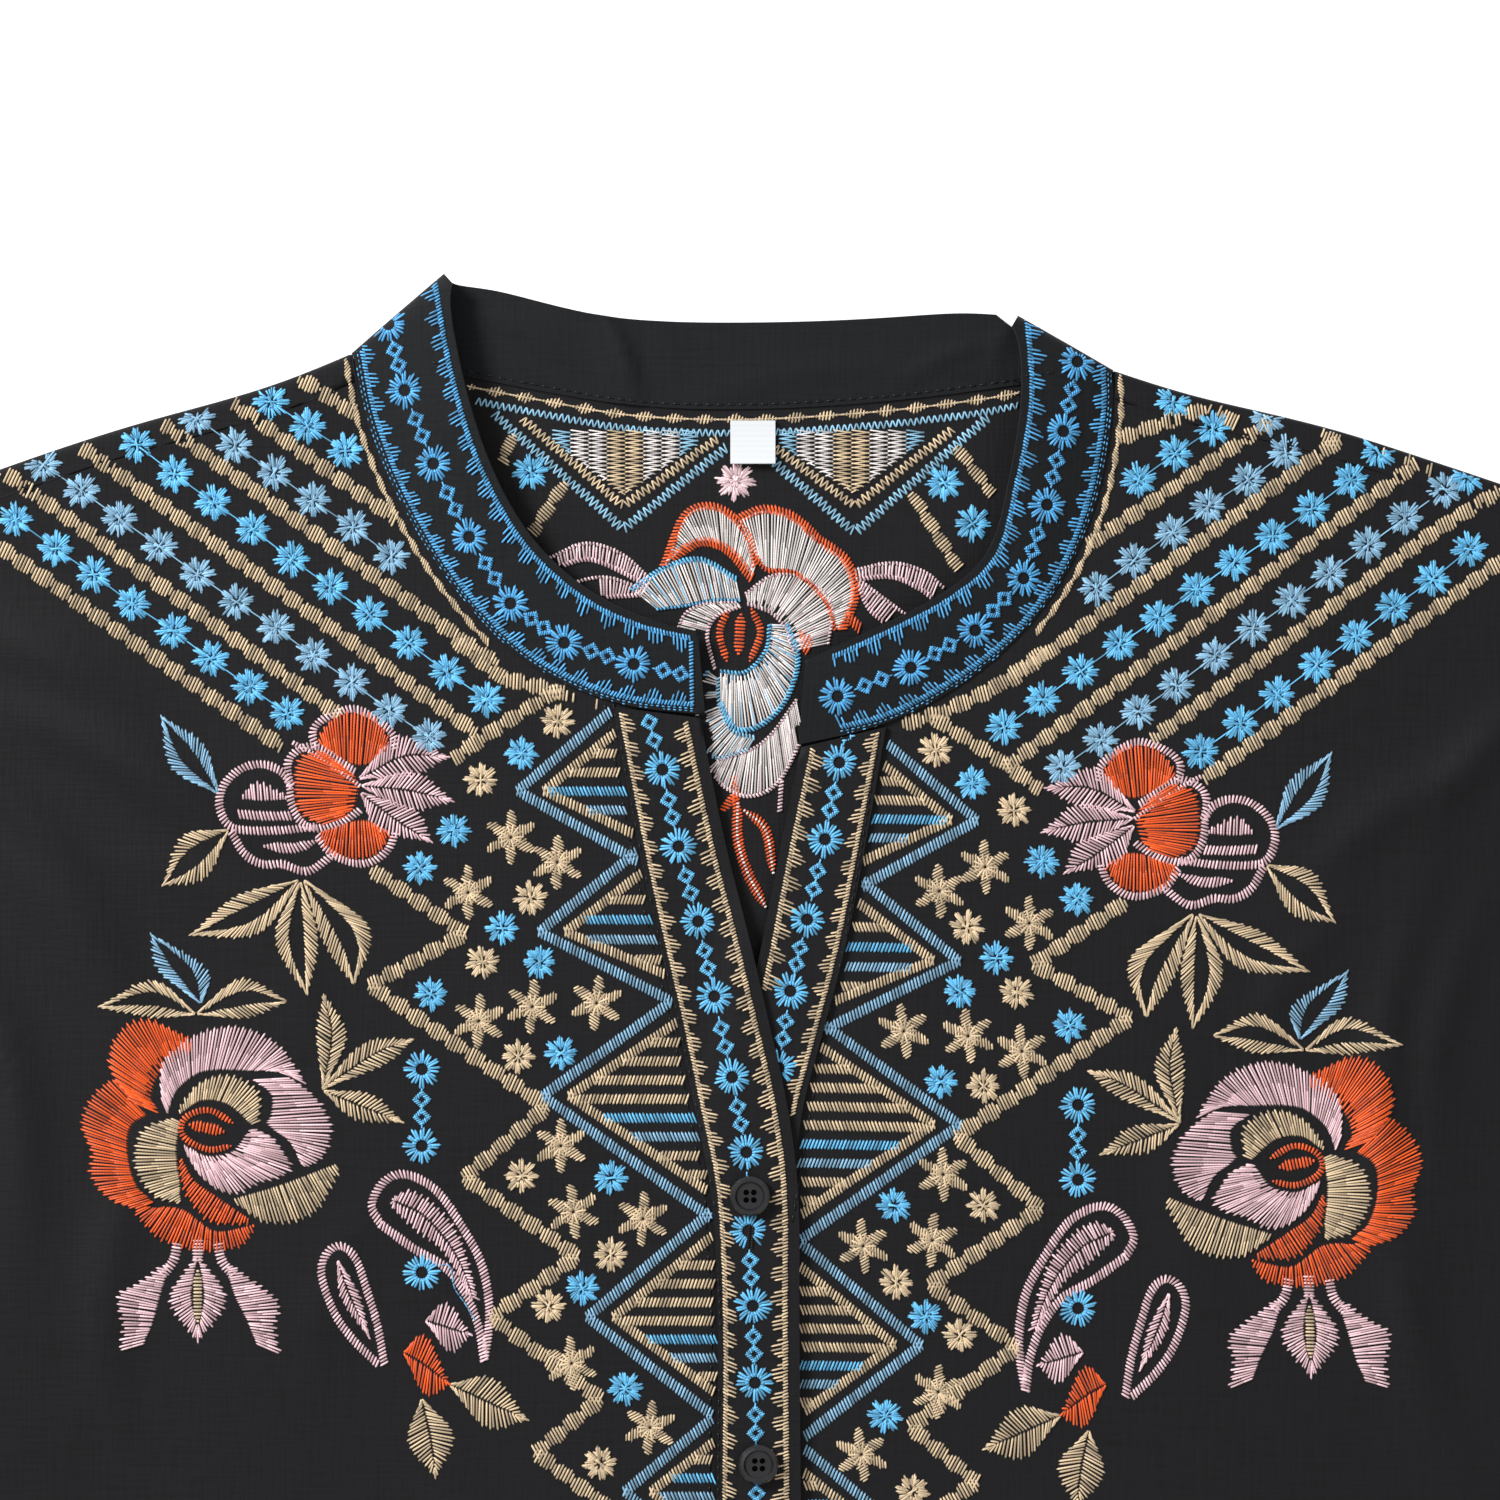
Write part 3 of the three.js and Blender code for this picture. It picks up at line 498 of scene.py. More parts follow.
def beaded(piece, colour, points, row, turn=1, curved=True, **rest):
    # a thin line of slanted stitches that swells to a bead at even steps
    spots, way, at = walk(points, row["pitch"], curved)
    crest = np.clip(np.sin(np.pi * (at / row["bead"] % 1)), 0, 1) ** row["sharp"]
    half = row["thin"] + row["thick"] * crest * uneven(len(at), row["uneven"])
    across = turned(way, row["lean"] * turn) * half[:, None]
    sew(piece, colour, spots - across, spots + across, row["width"], **rest)
    if row["along"]:
        sew(piece, colour, spots[:-1], spots[1:], row["along"], **rest)


def zigzag(piece, colour, points, width, pitch=0.85, stray=0.14, thread=0.54, curved=True, **rest):
    # one thread that goes from side to side, open enough for the cloth to show
    spots, way, at = walk(points, pitch, curved)
    side = np.where(np.arange(len(at)) % 2, 1, -1)
    across = turned(way, 90) * (width / 2 * uneven(len(at), stray) * side)[:, None]
    sew(piece, colour, (spots + across)[:-1], (spots + across)[1:], thread, **rest)


def running(piece, colour, points, long=2.2, gap=0.8, width=0.5, curved=True, **rest):
    spots, way = walk(points, long + gap, curved)[:2]
    sew(piece, colour, spots - way * long / 2, spots + way * long / 2, width, **rest)


starShape = {
    "points": 8, "turn": 9, "stray": 4, "swirl": 4,
    "rays": ((-17, 1.4), (-6, 0.7), (6, 0.9), (17, 1.6)),  # a point's stitches: angle aside, first radius
    "gather": 0.42, "reach": (0.84, 1.04), "width": 0.66,
    "fill": {"aside": (-5, 7), "from": 1.7, "slant": -12, "reach": (0.64, 0.8), "width": 0.62, "lift": 0.04},
    "cross": {"count": 4, "half": 2.0, "width": 0.6, "lift": 0.12},
}
flakeShape = {
    "arms": 6, "turn": 8, "slant": 64, "first": 1.2, "uneven": 0.2, "width": 0.62,
    "halves": (1.2, 1.9, 2.1, 1.9, 1.7, 1.8, 1.7, 1.0),  # the cross stitches of an arm, outwards
    "heart": {"count": 14, "from": 0.3, "to": 3.9, "width": 0.7, "lift": 0.1},
}
ringShape = {
    "aside": (-5.5, 5.5), "stray": 2.5, "reach": (0.82, 1.04), "spread": (1.5, 0.9), "width": 0.74,
    "rim": {"count": 16, "slant": 9, "to": 1.8, "width": 0.7, "lift": 0.06},
}
diamondShape = {"uneven": 0.06, "pitch": 0.72, "slant": 62, "half": 0.8, "width": 0.56}
chainShape = {"diamonds": (0.395, 0.625), "links": ((0.24, 0.33), (0.46, 0.56), (0.69, 0.78)), "width": 0.5}


def star(piece, colour, centres, radius=5.5, **rest):
    # a dense round body with eight sharp points, turned a little like a pinwheel
    count, stray, fill, cross = (starShape[key] for key in ("points", "stray", "fill", "cross"))
    for centre in centres:
        turn = chance.uniform(-starShape["turn"], starShape["turn"])
        for off, inner in starShape["rays"]:
            angles = np.arange(count) * 360 / count + turn + chance.uniform(-stray, stray, count)
            tips = radius * chance.uniform(*starShape["reach"], count)
            foot = centre + heading(angles + off) * inner
            tip = centre + heading(angles + off * starShape["gather"] + starShape["swirl"]) * tips[:, None]
            sew(piece, colour, foot, tip, starShape["width"], **rest)
        for off in fill["aside"]:
            angles = (np.arange(count) + 0.5) * 360 / count + turn + chance.uniform(-stray, stray, count)
            reach = radius * chance.uniform(*fill["reach"], count)
            foot = centre + heading(angles + fill["slant"] + off) * fill["from"]
            tip = centre + heading(angles + off) * reach[:, None]
            sew(piece, colour, foot, tip, fill["width"], fill["lift"], **rest)
        way = heading(chance.uniform(0, 180, cross["count"])) * cross["half"]
        sew(piece, colour, centre - way, centre + way, cross["width"], cross["lift"], **rest)


def snowflake(piece, colour, centres, radius=7.2, **rest):
    # six arms of short cross stitches round a dense middle
    arms, halves, heart = (flakeShape[key] for key in ("arms", "halves", "heart"))
    for centre in centres:
        turn = chance.uniform(-flakeShape["turn"], flakeShape["turn"]) + 180 / arms
        for arm in range(arms):
            way = heading(np.full(len(halves), arm * 360 / arms + turn))
            reach = np.linspace(flakeShape["first"], radius, len(halves))[:, None]
            half = np.array(halves) * uneven(len(halves), flakeShape["uneven"])
            across = turned(way, flakeShape["slant"]) * half[:, None]
            spots = centre + way * reach
            sew(piece, colour, spots - across, spots + across, flakeShape["width"], **rest)
        way = heading(np.arange(heart["count"]) * 360 / heart["count"] + turn)
        foot, tip = centre + way * heart["from"], centre + way * heart["to"]
        sew(piece, colour, foot, tip, heart["width"], heart["lift"], **rest)


def ringFlower(piece, colour, centre, eye=1.6, radius=5.6, lobes=12, **rest):
    # pairs of stitches that spread from a ring
    stray, rim = ringShape["stray"], ringShape["rim"]
    turn = chance.uniform(0, 360)
    for off in ringShape["aside"]:
        angles = np.arange(lobes) * 360 / lobes + turn + chance.uniform(-stray, stray, lobes)
        reach = radius * chance.uniform(*ringShape["reach"], lobes)
        foot = centre + heading(angles + off * ringShape["spread"][0]) * eye
        tip = centre + heading(angles + off * ringShape["spread"][1]) * reach[:, None]
        sew(piece, colour, foot, tip, ringShape["width"], **rest)
    angles = np.arange(rim["count"]) * 360 / rim["count"] + turn
    foot, tip = centre + heading(angles) * eye, centre + heading(angles + rim["slant"]) * eye * rim["to"]
    sew(piece, colour, foot, tip, rim["width"], rim["lift"], **rest)


def diamond(piece, colour, centre, turn, radius=1.85, **rest):
    # a small open lozenge worked in short slanted stitches
    corners = centre + heading(np.arange(5) * 90 + turn) * radius * uneven(5, diamondShape["uneven"])[:, None]
    corners[4] = corners[0]
    for a, b in zip(corners, corners[1:]):
        spots, way = walk([a, b], diamondShape["pitch"], False)[:2]
        across = turned(way, diamondShape["slant"]) * diamondShape["half"]
        sew(piece, colour, spots - across, spots + across, diamondShape["width"], **rest)


def chain(piece, colour, centres, bare=(), **rest):
    # ring flowers with two small diamonds between each two
    centres = np.array(centres, float)
    for i, centre in enumerate(centres):
        if i not in bare:
            ringFlower(piece, colour, centre, **rest)
    for a, b in zip(centres, centres[1:]):
        turn = math.degrees(math.atan2(b[1] - a[1], b[0] - a[0]))
        for part in chainShape["diamonds"]:
            diamond(piece, colour, a + (b - a) * part, turn, **rest)
        for first, last in chainShape["links"]:
            sew(piece, colour, [a + (b - a) * first], [a + (b - a) * last], chainShape["width"], **rest)


fanShape = {
    "innerStray": 0.24, "outerStray": 0.16, "inset": 0.3, "uneven": 0.5,
    "narrow": 0.5, "crowded": (0.08, 0.22),  # where the inner line is short, each second stitch starts later
    "firstEnd": (0.54, 0.7), "secondStart": (0.3, 0.48), "lift": 0.05,  # the two stitches of a long reach
}


def fan(piece, colour, inner, outer, slide=0.0, single=5.6, ragged=0.6, step=1.02, width=0.6, **rest):
    # long and short stitches between an inner and an outer line
    inner, outer = smoothed(inner), smoothed(outer)
    count = max(3, round(lengthOf(outer)[-1] / step) + 1)
    a, b = spaced(inner, count, -slide), spaced(outer, count)
    reach = b - a
    long = np.linalg.norm(reach, axis=1)
    way = reach / np.maximum(long, 1e-6)[:, None]
    side = turned(way, 90)
    second = np.arange(count) % 2 == 1
    a = a + side * chance.uniform(-fanShape["innerStray"], fanShape["innerStray"], count)[:, None]
    b = b + side * chance.uniform(-fanShape["outerStray"], fanShape["outerStray"], count)[:, None]
    edge = np.where(second, ragged, -ragged * fanShape["inset"]) * uneven(count, fanShape["uneven"])
    b = b + way * edge[:, None]
    crowded = second & (lengthOf(inner)[-1] < lengthOf(outer)[-1] * fanShape["narrow"])
    a = a + reach * (crowded * chance.uniform(*fanShape["crowded"], count))[:, None]
    short = long <= single
    sew(piece, colour, a[short], b[short], width, **rest)
    if (~short).any():
        a, b, reach = a[~short], b[~short], (b - a)[~short]
        mid = chance.uniform(*fanShape["firstEnd"], len(a))[:, None]
        sew(piece, colour, a, a + reach * mid, width, **rest)
        mid = chance.uniform(*fanShape["secondStart"], len(a))[:, None]
        sew(piece, colour, a + reach * mid, b, width, **{"lift": fanShape["lift"], **rest})


leafKinds = {
    "hollow": {"slit": 0.34, "slide": 0.13, "single": 12, "ragged": 0.45, "step": 1.12},
    "filled": {"slit": 0.0, "slide": 0.1, "single": 9, "ragged": 0.4, "step": 1.14},
}


def leaf(kind, piece, colour, base, tip, sideA, sideB, **rest):
    # slanted stitches on both sides of a midrib, which is a slit in a hollow leaf
    base, tip, sideA, sideB = (np.array(spot, float) for spot in (base, tip, sideA, sideB))
    row = dict(leafKinds[kind])
    slit = row.pop("slit")
    middle = (sideA + sideB) / 2
    for side in (sideA, sideB):
        inner = middle + (side - middle) * slit
        fan(piece, colour, [base, inner, tip], [base, side, tip], **row, **rest)


# Rows of stars, each joined by a thin thread: first, last and how many.
starRows = [
    {"colour": "azure", "first": (-205.5, -47.5), "last": (-129.5, -102), "count": 8},
    {"colour": "greyBlue", "first": (-198, -32), "last": (-90, -108.5), "count": 11},
    {"colour": "azure", "first": (-172, -26.5), "last": (-74, -98), "count": 10},
    {"colour": "greyBlue", "first": (-155, -19), "last": (-100.5, -57.5), "count": 6},
    {"colour": "azure", "first": (-134, -14.5), "last": (-113.5, -28), "count": 3},
    {"colour": "azure", "first": (202, -56), "last": (126.5, -112.5), "count": 8},
    {"colour": "greyBlue", "first": (194.5, -39), "last": (87.5, -117), "count": 11},
    {"colour": "azure", "first": (168, -36.5), "last": (71.5, -105.5), "count": 10},
    {"colour": "greyBlue", "first": (150, -28.5), "last": (97, -66.5), "count": 6},
    {"colour": "azure", "first": (129.5, -22), "last": (109, -36.5), "count": 3},
]
loneStars = [
    ("azure", (118.5, -14.5)), ("greyBlue", (145, -19)), ("azure", (176, -28.5)), ("azure", (201, -35.5)),
]
shoulderRopes = [
    [(-221, -47.5), (-131.5, -111)],
    [(-208.5, -34.5), (-115.5, -102)],
    [(-187.5, -27), (-77, -107)],
    [(-165.5, -20), (-71, -88)],
    [(-142, -17), (-99.5, -47)],
    [(-125, -8.5), (-111, -17.5)],
    [(221, -51.5), (127.5, -120)],
    [(207.5, -41), (193, -50), (113, -109)],
    [(184, -34), (71.5, -117)],
    [(164, -26), (73, -92.5)],
    [(141.5, -23), (95, -54.5)],
    [(120, -19), (103, -25)],
    [(128, -15), (136, -20.5)],
    [(156.5, -21), (164.5, -26)],
    [(185, -31), (192.5, -34)],
    [(-83, -81), (-69, -92), (-56, -95), (-42, -99)],
    [(83, -84), (68, -95), (55, -101), (43, -105)],
]
for row in starRows:
    first, last = np.array(row["first"], float), np.array(row["last"], float)
    centres = first + (last - first) * np.linspace(0, 1, row["count"])[:, None]
    centres += chance.uniform(-0.3, 0.3, centres.shape)
    star("embroidery_shoulder_stars", row["colour"], centres)
    sew("embroidery_shoulder_stars", row["colour"], centres[:-1], centres[1:], 0.42)
for colour, centre in loneStars:
    star("embroidery_shoulder_stars", colour, [centre])
overShoulder = {"above": -60, "more": 8}  # ropes that start this high come over the fold, so much more
for points in shoulderRopes:
    first, after = np.array(points[0], float), np.array(points[1], float)
    if first[1] > overShoulder["above"]:
        points = [onward(after, first, overShoulder["more"])] + points[1:]
    rope("embroidery_shoulder_ropes", "tan", points)
print("shoulders sewn")

# The collar band: its seam and top edge, the flowers between, and where along it the combs stop. The
# last diamonds on the left lead to no flower.
band = ("collar_band",)
bandRows = {
    "left": {
        "turn": 1, "stop": 0.985,
        "seam": [(-111.4, -1.1), (-106.8, -22), (-97, -45), (-82, -68.3), (-63, -87.4), (-38.4, -98.8),
                 (-12.6, -101.9)],
        "top": [(-85.4, 21), (-81, -4), (-74, -29), (-62.2, -51.6), (-46.5, -66.6), (-31, -74.6),
                (-14.6, -79)],
        "flowers": [(-101, 7), (-96.5, -11.5), (-88.5, -32), (-78.5, -52.5), (-67, -71), (-52, -82),
                    (-32.5, -88), (-11.5, -92.5)],
    },
    "right": {
        "turn": -1, "stop": 0.93,
        "seam": [(101.6, -5.9), (101.3, -20), (97, -43), (87, -65.5), (70, -85.8), (42, -103.4),
                 (13.7, -110.3)],
        "top": [(74.8, 9.2), (76, -14), (72, -37.5), (67, -57), (54, -68.4), (33.5, -78.6), (15.4, -87)],
        "flowers": [(91.5, -3.5), (87.5, -23), (83, -43.5), (76.5, -64), (63, -78.5), (45, -89), (24.5, -97)],
    },
}
bandLines = {"low": 0.1, "high": 0.9, "atSeam": (0.02, 0.05)}  # shares of the band's width
seamBeads = {
    "pitch": 0.85, "bead": 6.6, "sharp": 1.5, "thin": 0.6, "thick": 0.9, "uneven": 0.15, "lean": -48,
    "width": 0.62, "along": None, "away": 2.5, "share": 0.6,
}


def alongBand(seam, top, part, stop):
    line = seam + (top - seam) * part
    return line[: int(len(line) * stop)]


for side, row in bandRows.items():
    seam, top = smoothed(row["seam"]), smoothed(row["top"])
    turn, stop = row["turn"], row["stop"]
    place = "embroidery_collar_" + side
    edge = {"on": band, "curved": False}
    low, high = (alongBand(seam, top, bandLines[key], stop) for key in ("low", "high"))
    comb(place, "deepAzure", low, turn, reach=3.8, lean=-14 * turn, **edge)
    comb(place, "deepAzure", high, -turn, reach=4.6, lean=14 * turn, **edge)
    for part in bandLines["atSeam"]:
        line = alongBand(seam, top, part, stop)
        running(place, "deepAzure", line, long=0.95, gap=0.65, width=0.42, **edge)
    # the tan line beside the seam, on the bodice
    outward = (seam - top) / np.linalg.norm(seam - top, axis=1)[:, None]
    line = (seam + outward * seamBeads["away"])[: int(len(seam) * seamBeads["share"])]
    beaded("embroidery_shoulder_ropes", "tan", line, seamBeads, turn, curved=False)
    chain(place, "deepAzure", row["flowers"], bare=(7,), on=band)
    diamond(place, "deepAzure", np.array(row["flowers"][0]) + (2.5 * -turn, 8.5), 78, on=band)
satin("embroidery_collar_left", "deepAzure", [(-16.5, -82), (-16.2, -99.5)], 1.5, 20, on=band)
print("collar sewn")

# The half placket: both edges of each strip, its flowers, and which places in the chain stay bare.
placketRows = {
    "placket_over": {
        "turn": 1, "bare": (0, 10),
        "outer": [(-36, -102), (-29.5, -136), (-24, -162), (-18.7, -185), (-13.3, -211), (-8.5, -236),
                  (-6.8, -271), (-7, -320), (-7.4, -356)],
        "inner": [(-18, -104.5), (-11, -138), (-4.4, -164), (1, -187), (6.6, -212), (9.6, -236.5),
                  (9.8, -271), (10.2, -320), (10.4, -356)],
        "flowers": [(-30.5, -95.5), (-24.5, -117.5), (-20, -139), (-14.5, -160), (-10, -181), (-5, -203.5),
                    (-1, -224.5), (-0.5, -246.5), (0.8, -267.5), (1.4, -289), (1.8, -311.5), (2, -333)],
    },
    "placket_under": {
        "turn": -1, "bare": (0,),
        "outer": [(35.6, -107.5), (30.3, -136), (24, -167.7), (17.4, -193), (11.8, -215), (10.2, -240)],
        "inner": [(17.6, -112), (12, -139), (6, -170), (0.4, -195), (-1.6, -217)],
        "flowers": [(30, -94.5), (25, -115.5), (21, -137), (16, -159.5), (11.3, -179.5), (8, -201),
                    (4.5, -222)],
    },
}
for name, row in placketRows.items():
    on, turn = (name,), row["turn"]
    place = "embroidery_" + name
    comb(place, "tan", row["outer"], turn, reach=4.0, group=7.0, lean=-22 * turn, on=on)
    comb(place, "tan", row["inner"], -turn, reach=4.6, group=7.0, lean=12 * turn, on=on)
    chain(place, "azure", row["flowers"], bare=row["bare"], on=on)
# No stitch lies under a button or across the buttonhole.
fastening = {
    "buttons": [(0.0, -236.6), (2.4, -311.6)], "clear": 4.7,
    "top": (0.6, -243.6), "foot": (0.0, -251.4), "half": 1.3,  # the buttonhole
    "lip": {"aside": 0.55, "pitch": 0.5, "half": 0.5, "width": 0.42},
}
lip = fastening["lip"]
(topX, topY), (footX, footY) = fastening["top"], fastening["foot"]
rows = np.vstack(work["embroidery_placket_over"])
for spot in fastening["buttons"]:
    near = [
        np.hypot(*(rows[:, 0:2] * (1 - t) + rows[:, 2:4] * t - spot).T) < fastening["clear"]
        for t in (0, 0.25, 0.5, 0.75, 1)
    ]
    rows = rows[~np.any(near, axis=0)]
middle = (rows[:, 0:2] + rows[:, 2:4]) / 2
part = np.clip((topY - middle[:, 1]) / (topY - footY), 0, 1)
line = topX + (footX - topX) * part
level = (middle[:, 1] < topY) & (middle[:, 1] > footY)
rows = rows[~(level & (np.abs(middle[:, 0] - line) < fastening["half"]))]
work["embroidery_placket_over"] = [rows]
for side in (-lip["aside"], lip["aside"]):
    spots = walk([(topX + side, topY), (footX + side, footY)], lip["pitch"], False)[0]
    across = np.array((lip["half"], 0))
    sew("buttonhole", "black", spots - across, spots + across, lip["width"], on=("placket_over",))
print("placket sewn")

# Triangles beside the placket: where each starts and ends on its seam, its point, and its bars.
triangles = [
    {"start": (-40, -102), "point": (-65, -123.5), "end": (-33.5, -142), "bars": -113, "pitch": 5.3,
     "colours": ("tan", "tan", "azure", "greyBlue", "tan")},
    {"start": (-33.5, -142), "point": (-59, -163), "end": (-22, -182.5), "bars": -154, "pitch": 5.6,
     "colours": ("tan", "azure", "greyBlue", "tan", "tan")},
    {"start": (-22, -182.5), "point": (-58, -209), "end": (-12, -242.5), "bars": -194, "pitch": 5.3,
     "colours": ("tan", "tan", "tan", "tan", "azure", "greyBlue", "tan", "tan")},
    {"start": (-12, -242.5), "point": (-45.5, -271), "end": (-10, -299), "bars": -256.5, "pitch": 5.2,
     "colours": ("tan", "tan", "tan", "tan", "azure", "greyBlue", "tan")},
    {"start": (-10, -299), "point": (-35, -320), "end": (-10.5, -341), "bars": -311, "pitch": 5.2,
     "colours": ("tan", "azure", "greyBlue", "tan")},
]
seamY = (-341, -299, -271, -242.5, -236, -211, -185, -162, -136, -100)
seamX = (-10.3, -10, -9.6, -11.3, -11.6, -16.4, -21.8, -27.3, -32.7, -39.4)
inset = {"side": 0.5, "end": 6.6, "point": 7.4}  # how far the inner triangle lies within the outer one
bars = {
    "clear": 1.3, "shortest": 2.5, "more": 5, "width": 3.4,
    "lean": {"tan": -20, "azure": 24, "greyBlue": 24},
}
place = "embroidery_triangles"
for row in triangles:
    start, point, end = (np.array(row[key], float) for key in ("start", "point", "end"))
    innerStart, innerEnd = start + (inset["side"], -inset["end"]), end + (inset["side"], inset["end"])
    innerPoint = point + (inset["point"], 0)
    for colour, width, (first, apex, last) in (
        ("greyBlue", 3.5, (start, point, end)), ("tan", 3.3, (innerStart, innerPoint, innerEnd)),
    ):  # the placket's edge stops the stitches
        satin(place, colour, [onward(apex, first), apex], width, -16, both=True)
        satin(place, colour, [apex, onward(apex, last)], width, 16, both=True)
    for index, colour in enumerate(row["colours"]):
        y = row["bars"] - row["pitch"] * index
        xs = (innerStart[0], innerPoint[0], innerEnd[0])
        left = np.interp(-y, (-innerStart[1], -innerPoint[1], -innerEnd[1]), xs) + bars["clear"]
        right = np.interp(y, seamY, seamX)
        if right - left > bars["shortest"]:
            line = [(left, y), (right + bars["more"], y)]
            satin(place, colour, line, bars["width"], bars["lean"][colour], both=True)
print("triangles sewn")

# The field of stars between the triangles and the flowers.
field = {
    "borders": [
        [(-53, -94.5), (-75, -108.5), (-83, -114.5)],
        [(-106, -145.5), (-80, -163.5), (-106.5, -178), (-57, -212), (-80, -232), (-48.5, -254),
         (-72.5, -271), (-42, -294), (-60, -309), (-22, -338)],
    ],
    "tan": [(-54, -104), (-75.5, -120.5), (-61.5, -153.5), (-75, -171.5), (-65, -198), (-64, -231.5),
            (-39, -253.5), (-56.5, -268), (-42, -312)],
    "azure": [(-64, -113), (-83, -134.5), (-92.5, -145), (-69.5, -162), (-59, -171.5), (-89.5, -180.5),
              (-53, -197), (-39, -232), (-47, -263), (-35, -291)],
    "snow": [(-67, -136.5), (-54, -143.5), (-79, -152), (-61, -184), (-43, -183), (-76, -188), (-53, -223),
             (-49.5, -241.5), (-30, -243.5), (-50, -284), (-28, -302)],
}
place = "embroidery_star_field"
for points in field["borders"]:
    rope(place, "tan", points, both=True)
star(place, "tan", field["tan"], 5.2, both=True)
star(place, "azure", field["azure"], 5.2, both=True)
snowflake(place, "tan", field["snow"], both=True)
chain(place, "azure", [(-92, -201.5), (-92, -223)])
chain(place, "azure", [(92, -211.5), (92, -232.5)])
for centre in ((-92, -258.5), (92, -268.5)):
    ringFlower(place, "azure", np.array(centre))
print("star field sewn")

# The rose: its petals as colour, inner line and outer line, all from the flower's centre.
rose = {
    "centre": (-151.5, -218),
    "petals": [
        ("orange", [(-14, 4.5), (-16, 9), (-13, 16), (-5.5, 21)],
         [(-22, 7.5), (-28, 17), (-26, 26), (-18, 30.5), (-5, 25)]),
        ("orange", [(-17.5, 3.5), (-22, 0), (-22.5, -8), (-20, -16), (-15.5, -20.5)],
         [(-27.5, 14), (-33, 9), (-36, 1), (-33, -7), (-33.5, -13), (-29, -19), (-21, -22.5)]),
        ("orange", [(-17, -22), (-7.5, -22.5), (1.5, -28.5), (12, -27)],
         [(-21, -23.5), (-14, -31), (-2, -34.5), (9, -33), (12.5, -28)]),
        ("orange", [(-7.5, -8.5), (-4, -14.5), (1.5, -18.5), (11, -25)],
         [(-8.5, -10), (-7, -17.5), (0, -26), (10.5, -27)]),
        ("pink", [(-11.5, 4), (-9, 10.5), (-2, 15.5), (9, 16), (20, 16)],
         [(-13.5, 9), (-12.5, 20), (-2, 27), (9, 28.5), (20, 23), (27, 12.5)]),
        ("pink", [(12, 13.5), (17, 9.5), (17, 4), (16, 1), (22, -3.5), (25.5, -9.5)],
         [(23, 14), (30, 8.5), (34, 2), (34, -4), (31, -9), (27, -11)]),
        ("pink", [(-7, -4.5), (-1, -7.5), (6, -6.5), (11, -0.5)],
         [(-6.5, -7), (-2, -14), (6, -18.5), (14, -15.5), (23, -11.5), (18, -3), (13, -0.5)]),
        ("tan", [(-8, 4), (-2, 7.5), (5, 6.5), (11.5, 1)],
         [(-8.5, 5.5), (-3, 12.5), (5, 15), (13.5, 10.5), (14, 2)]),
        ("tan", [(-8, 1.5), (-9, -6), (-8, -16), (-8, -20)],
         [(-11, 3), (-19, -1), (-21, -10), (-16, -18.5), (-9, -21)]),
        ("tan", [(7, -19.5), (19, -16), (35, -10)], [(8.5, -22), (17, -26.5), (29, -24), (36.5, -12)]),
    ],
    "eye": [
        ([(6.5, 1.5), (0, 5), (-6, 3.5), (-8, 0), (-6, -3.5), (0, -6), (6, -5)], 2.1),
        ([(-5.5, 1), (-0.5, 0), (4, -1)], 3.4),
    ],
}


def shifted(centre, *points):
    return [np.array(centre) + np.array(p, float) for p in points]


centre = rose["centre"]
for colour, inner, outer in rose["petals"]:
    fan("embroidery_roses", colour, shifted(centre, *inner), shifted(centre, *outer), both=True)
for line, width in rose["eye"]:
    satin("embroidery_roses", "orange", shifted(centre, *line), width, taper=2.4, both=True)
for colour, *points in (
    ("greyBlue", (-2.5, 35), (-16.5, 54.5), (-14.5, 44.5), (-0.5, 44.5)),
    ("tan", (-4, 32), (-31, 34), (-16, 41.5), (-16, 31)),
    ("tan", (-3.5, 32), (22, 35.5), (9, 42), (11, 31)),
):
    leaf("hollow", "embroidery_leaves", colour, *shifted(centre, *points), both=True)
for points in (
    ((32, 11.5), (32, 38), (30, 26), (38.5, 26)),
    ((31.5, 11), (57.5, 25), (43.5, 24), (49.5, 18)),
    ((32, 10.5), (54.5, 1.5), (45.5, 9.5), (40.5, 2.5)),
):
    leaf("filled", "embroidery_leaves", "tan", *shifted(centre, *points), both=True)
# the stem: three short stalks, two side stems that flare out, and a drop with a tan heart
place = "embroidery_stems"
for points, width in (
    ([(-9, -32.5), (-10, -37), (-13, -41)], 3.2),
    ([(2.5, -32.5), (3.5, -37), (6.5, -41)], 3.2),
    ([(-3.2, -31.5), (-3.2, -37)], 3.4),
):
    satin(place, "pink", shifted(centre, *points), width, both=True)
for inner, outer in (
    ([(-11, -39), (-13, -45), (-15.5, -54), (-18, -60)],
     [(-13.5, -38.5), (-19, -43), (-25.5, -47), (-24, -55), (-25, -62)]),
    ([(4.5, -39), (7, -47), (10.5, -54), (13, -60)],
     [(7, -38.5), (13, -43.5), (19.5, -49), (18.5, -56), (20, -63)]),
):
    fan(place, "pink", shifted(centre, *inner), shifted(centre, *outer), ragged=0.8, both=True)
for side in (-1, 1):
    inner = [(-3.2, -36), (-3.2 + side * 1.6, -47), (-3.2, -56)]
    outer = [(-3.2, -36), (-3.2 + side * 6.5, -44), (-3.2 + side * 7.5, -50), (-3.2, -60)]
    fan(place, "pink", shifted(centre, *inner), shifted(centre, *outer), ragged=0.6, both=True)
satin(place, "tan", shifted(centre, (-3.2, -40), (-3.2, -54)), 3.0, taper=3, both=True)
print("roses sewn")

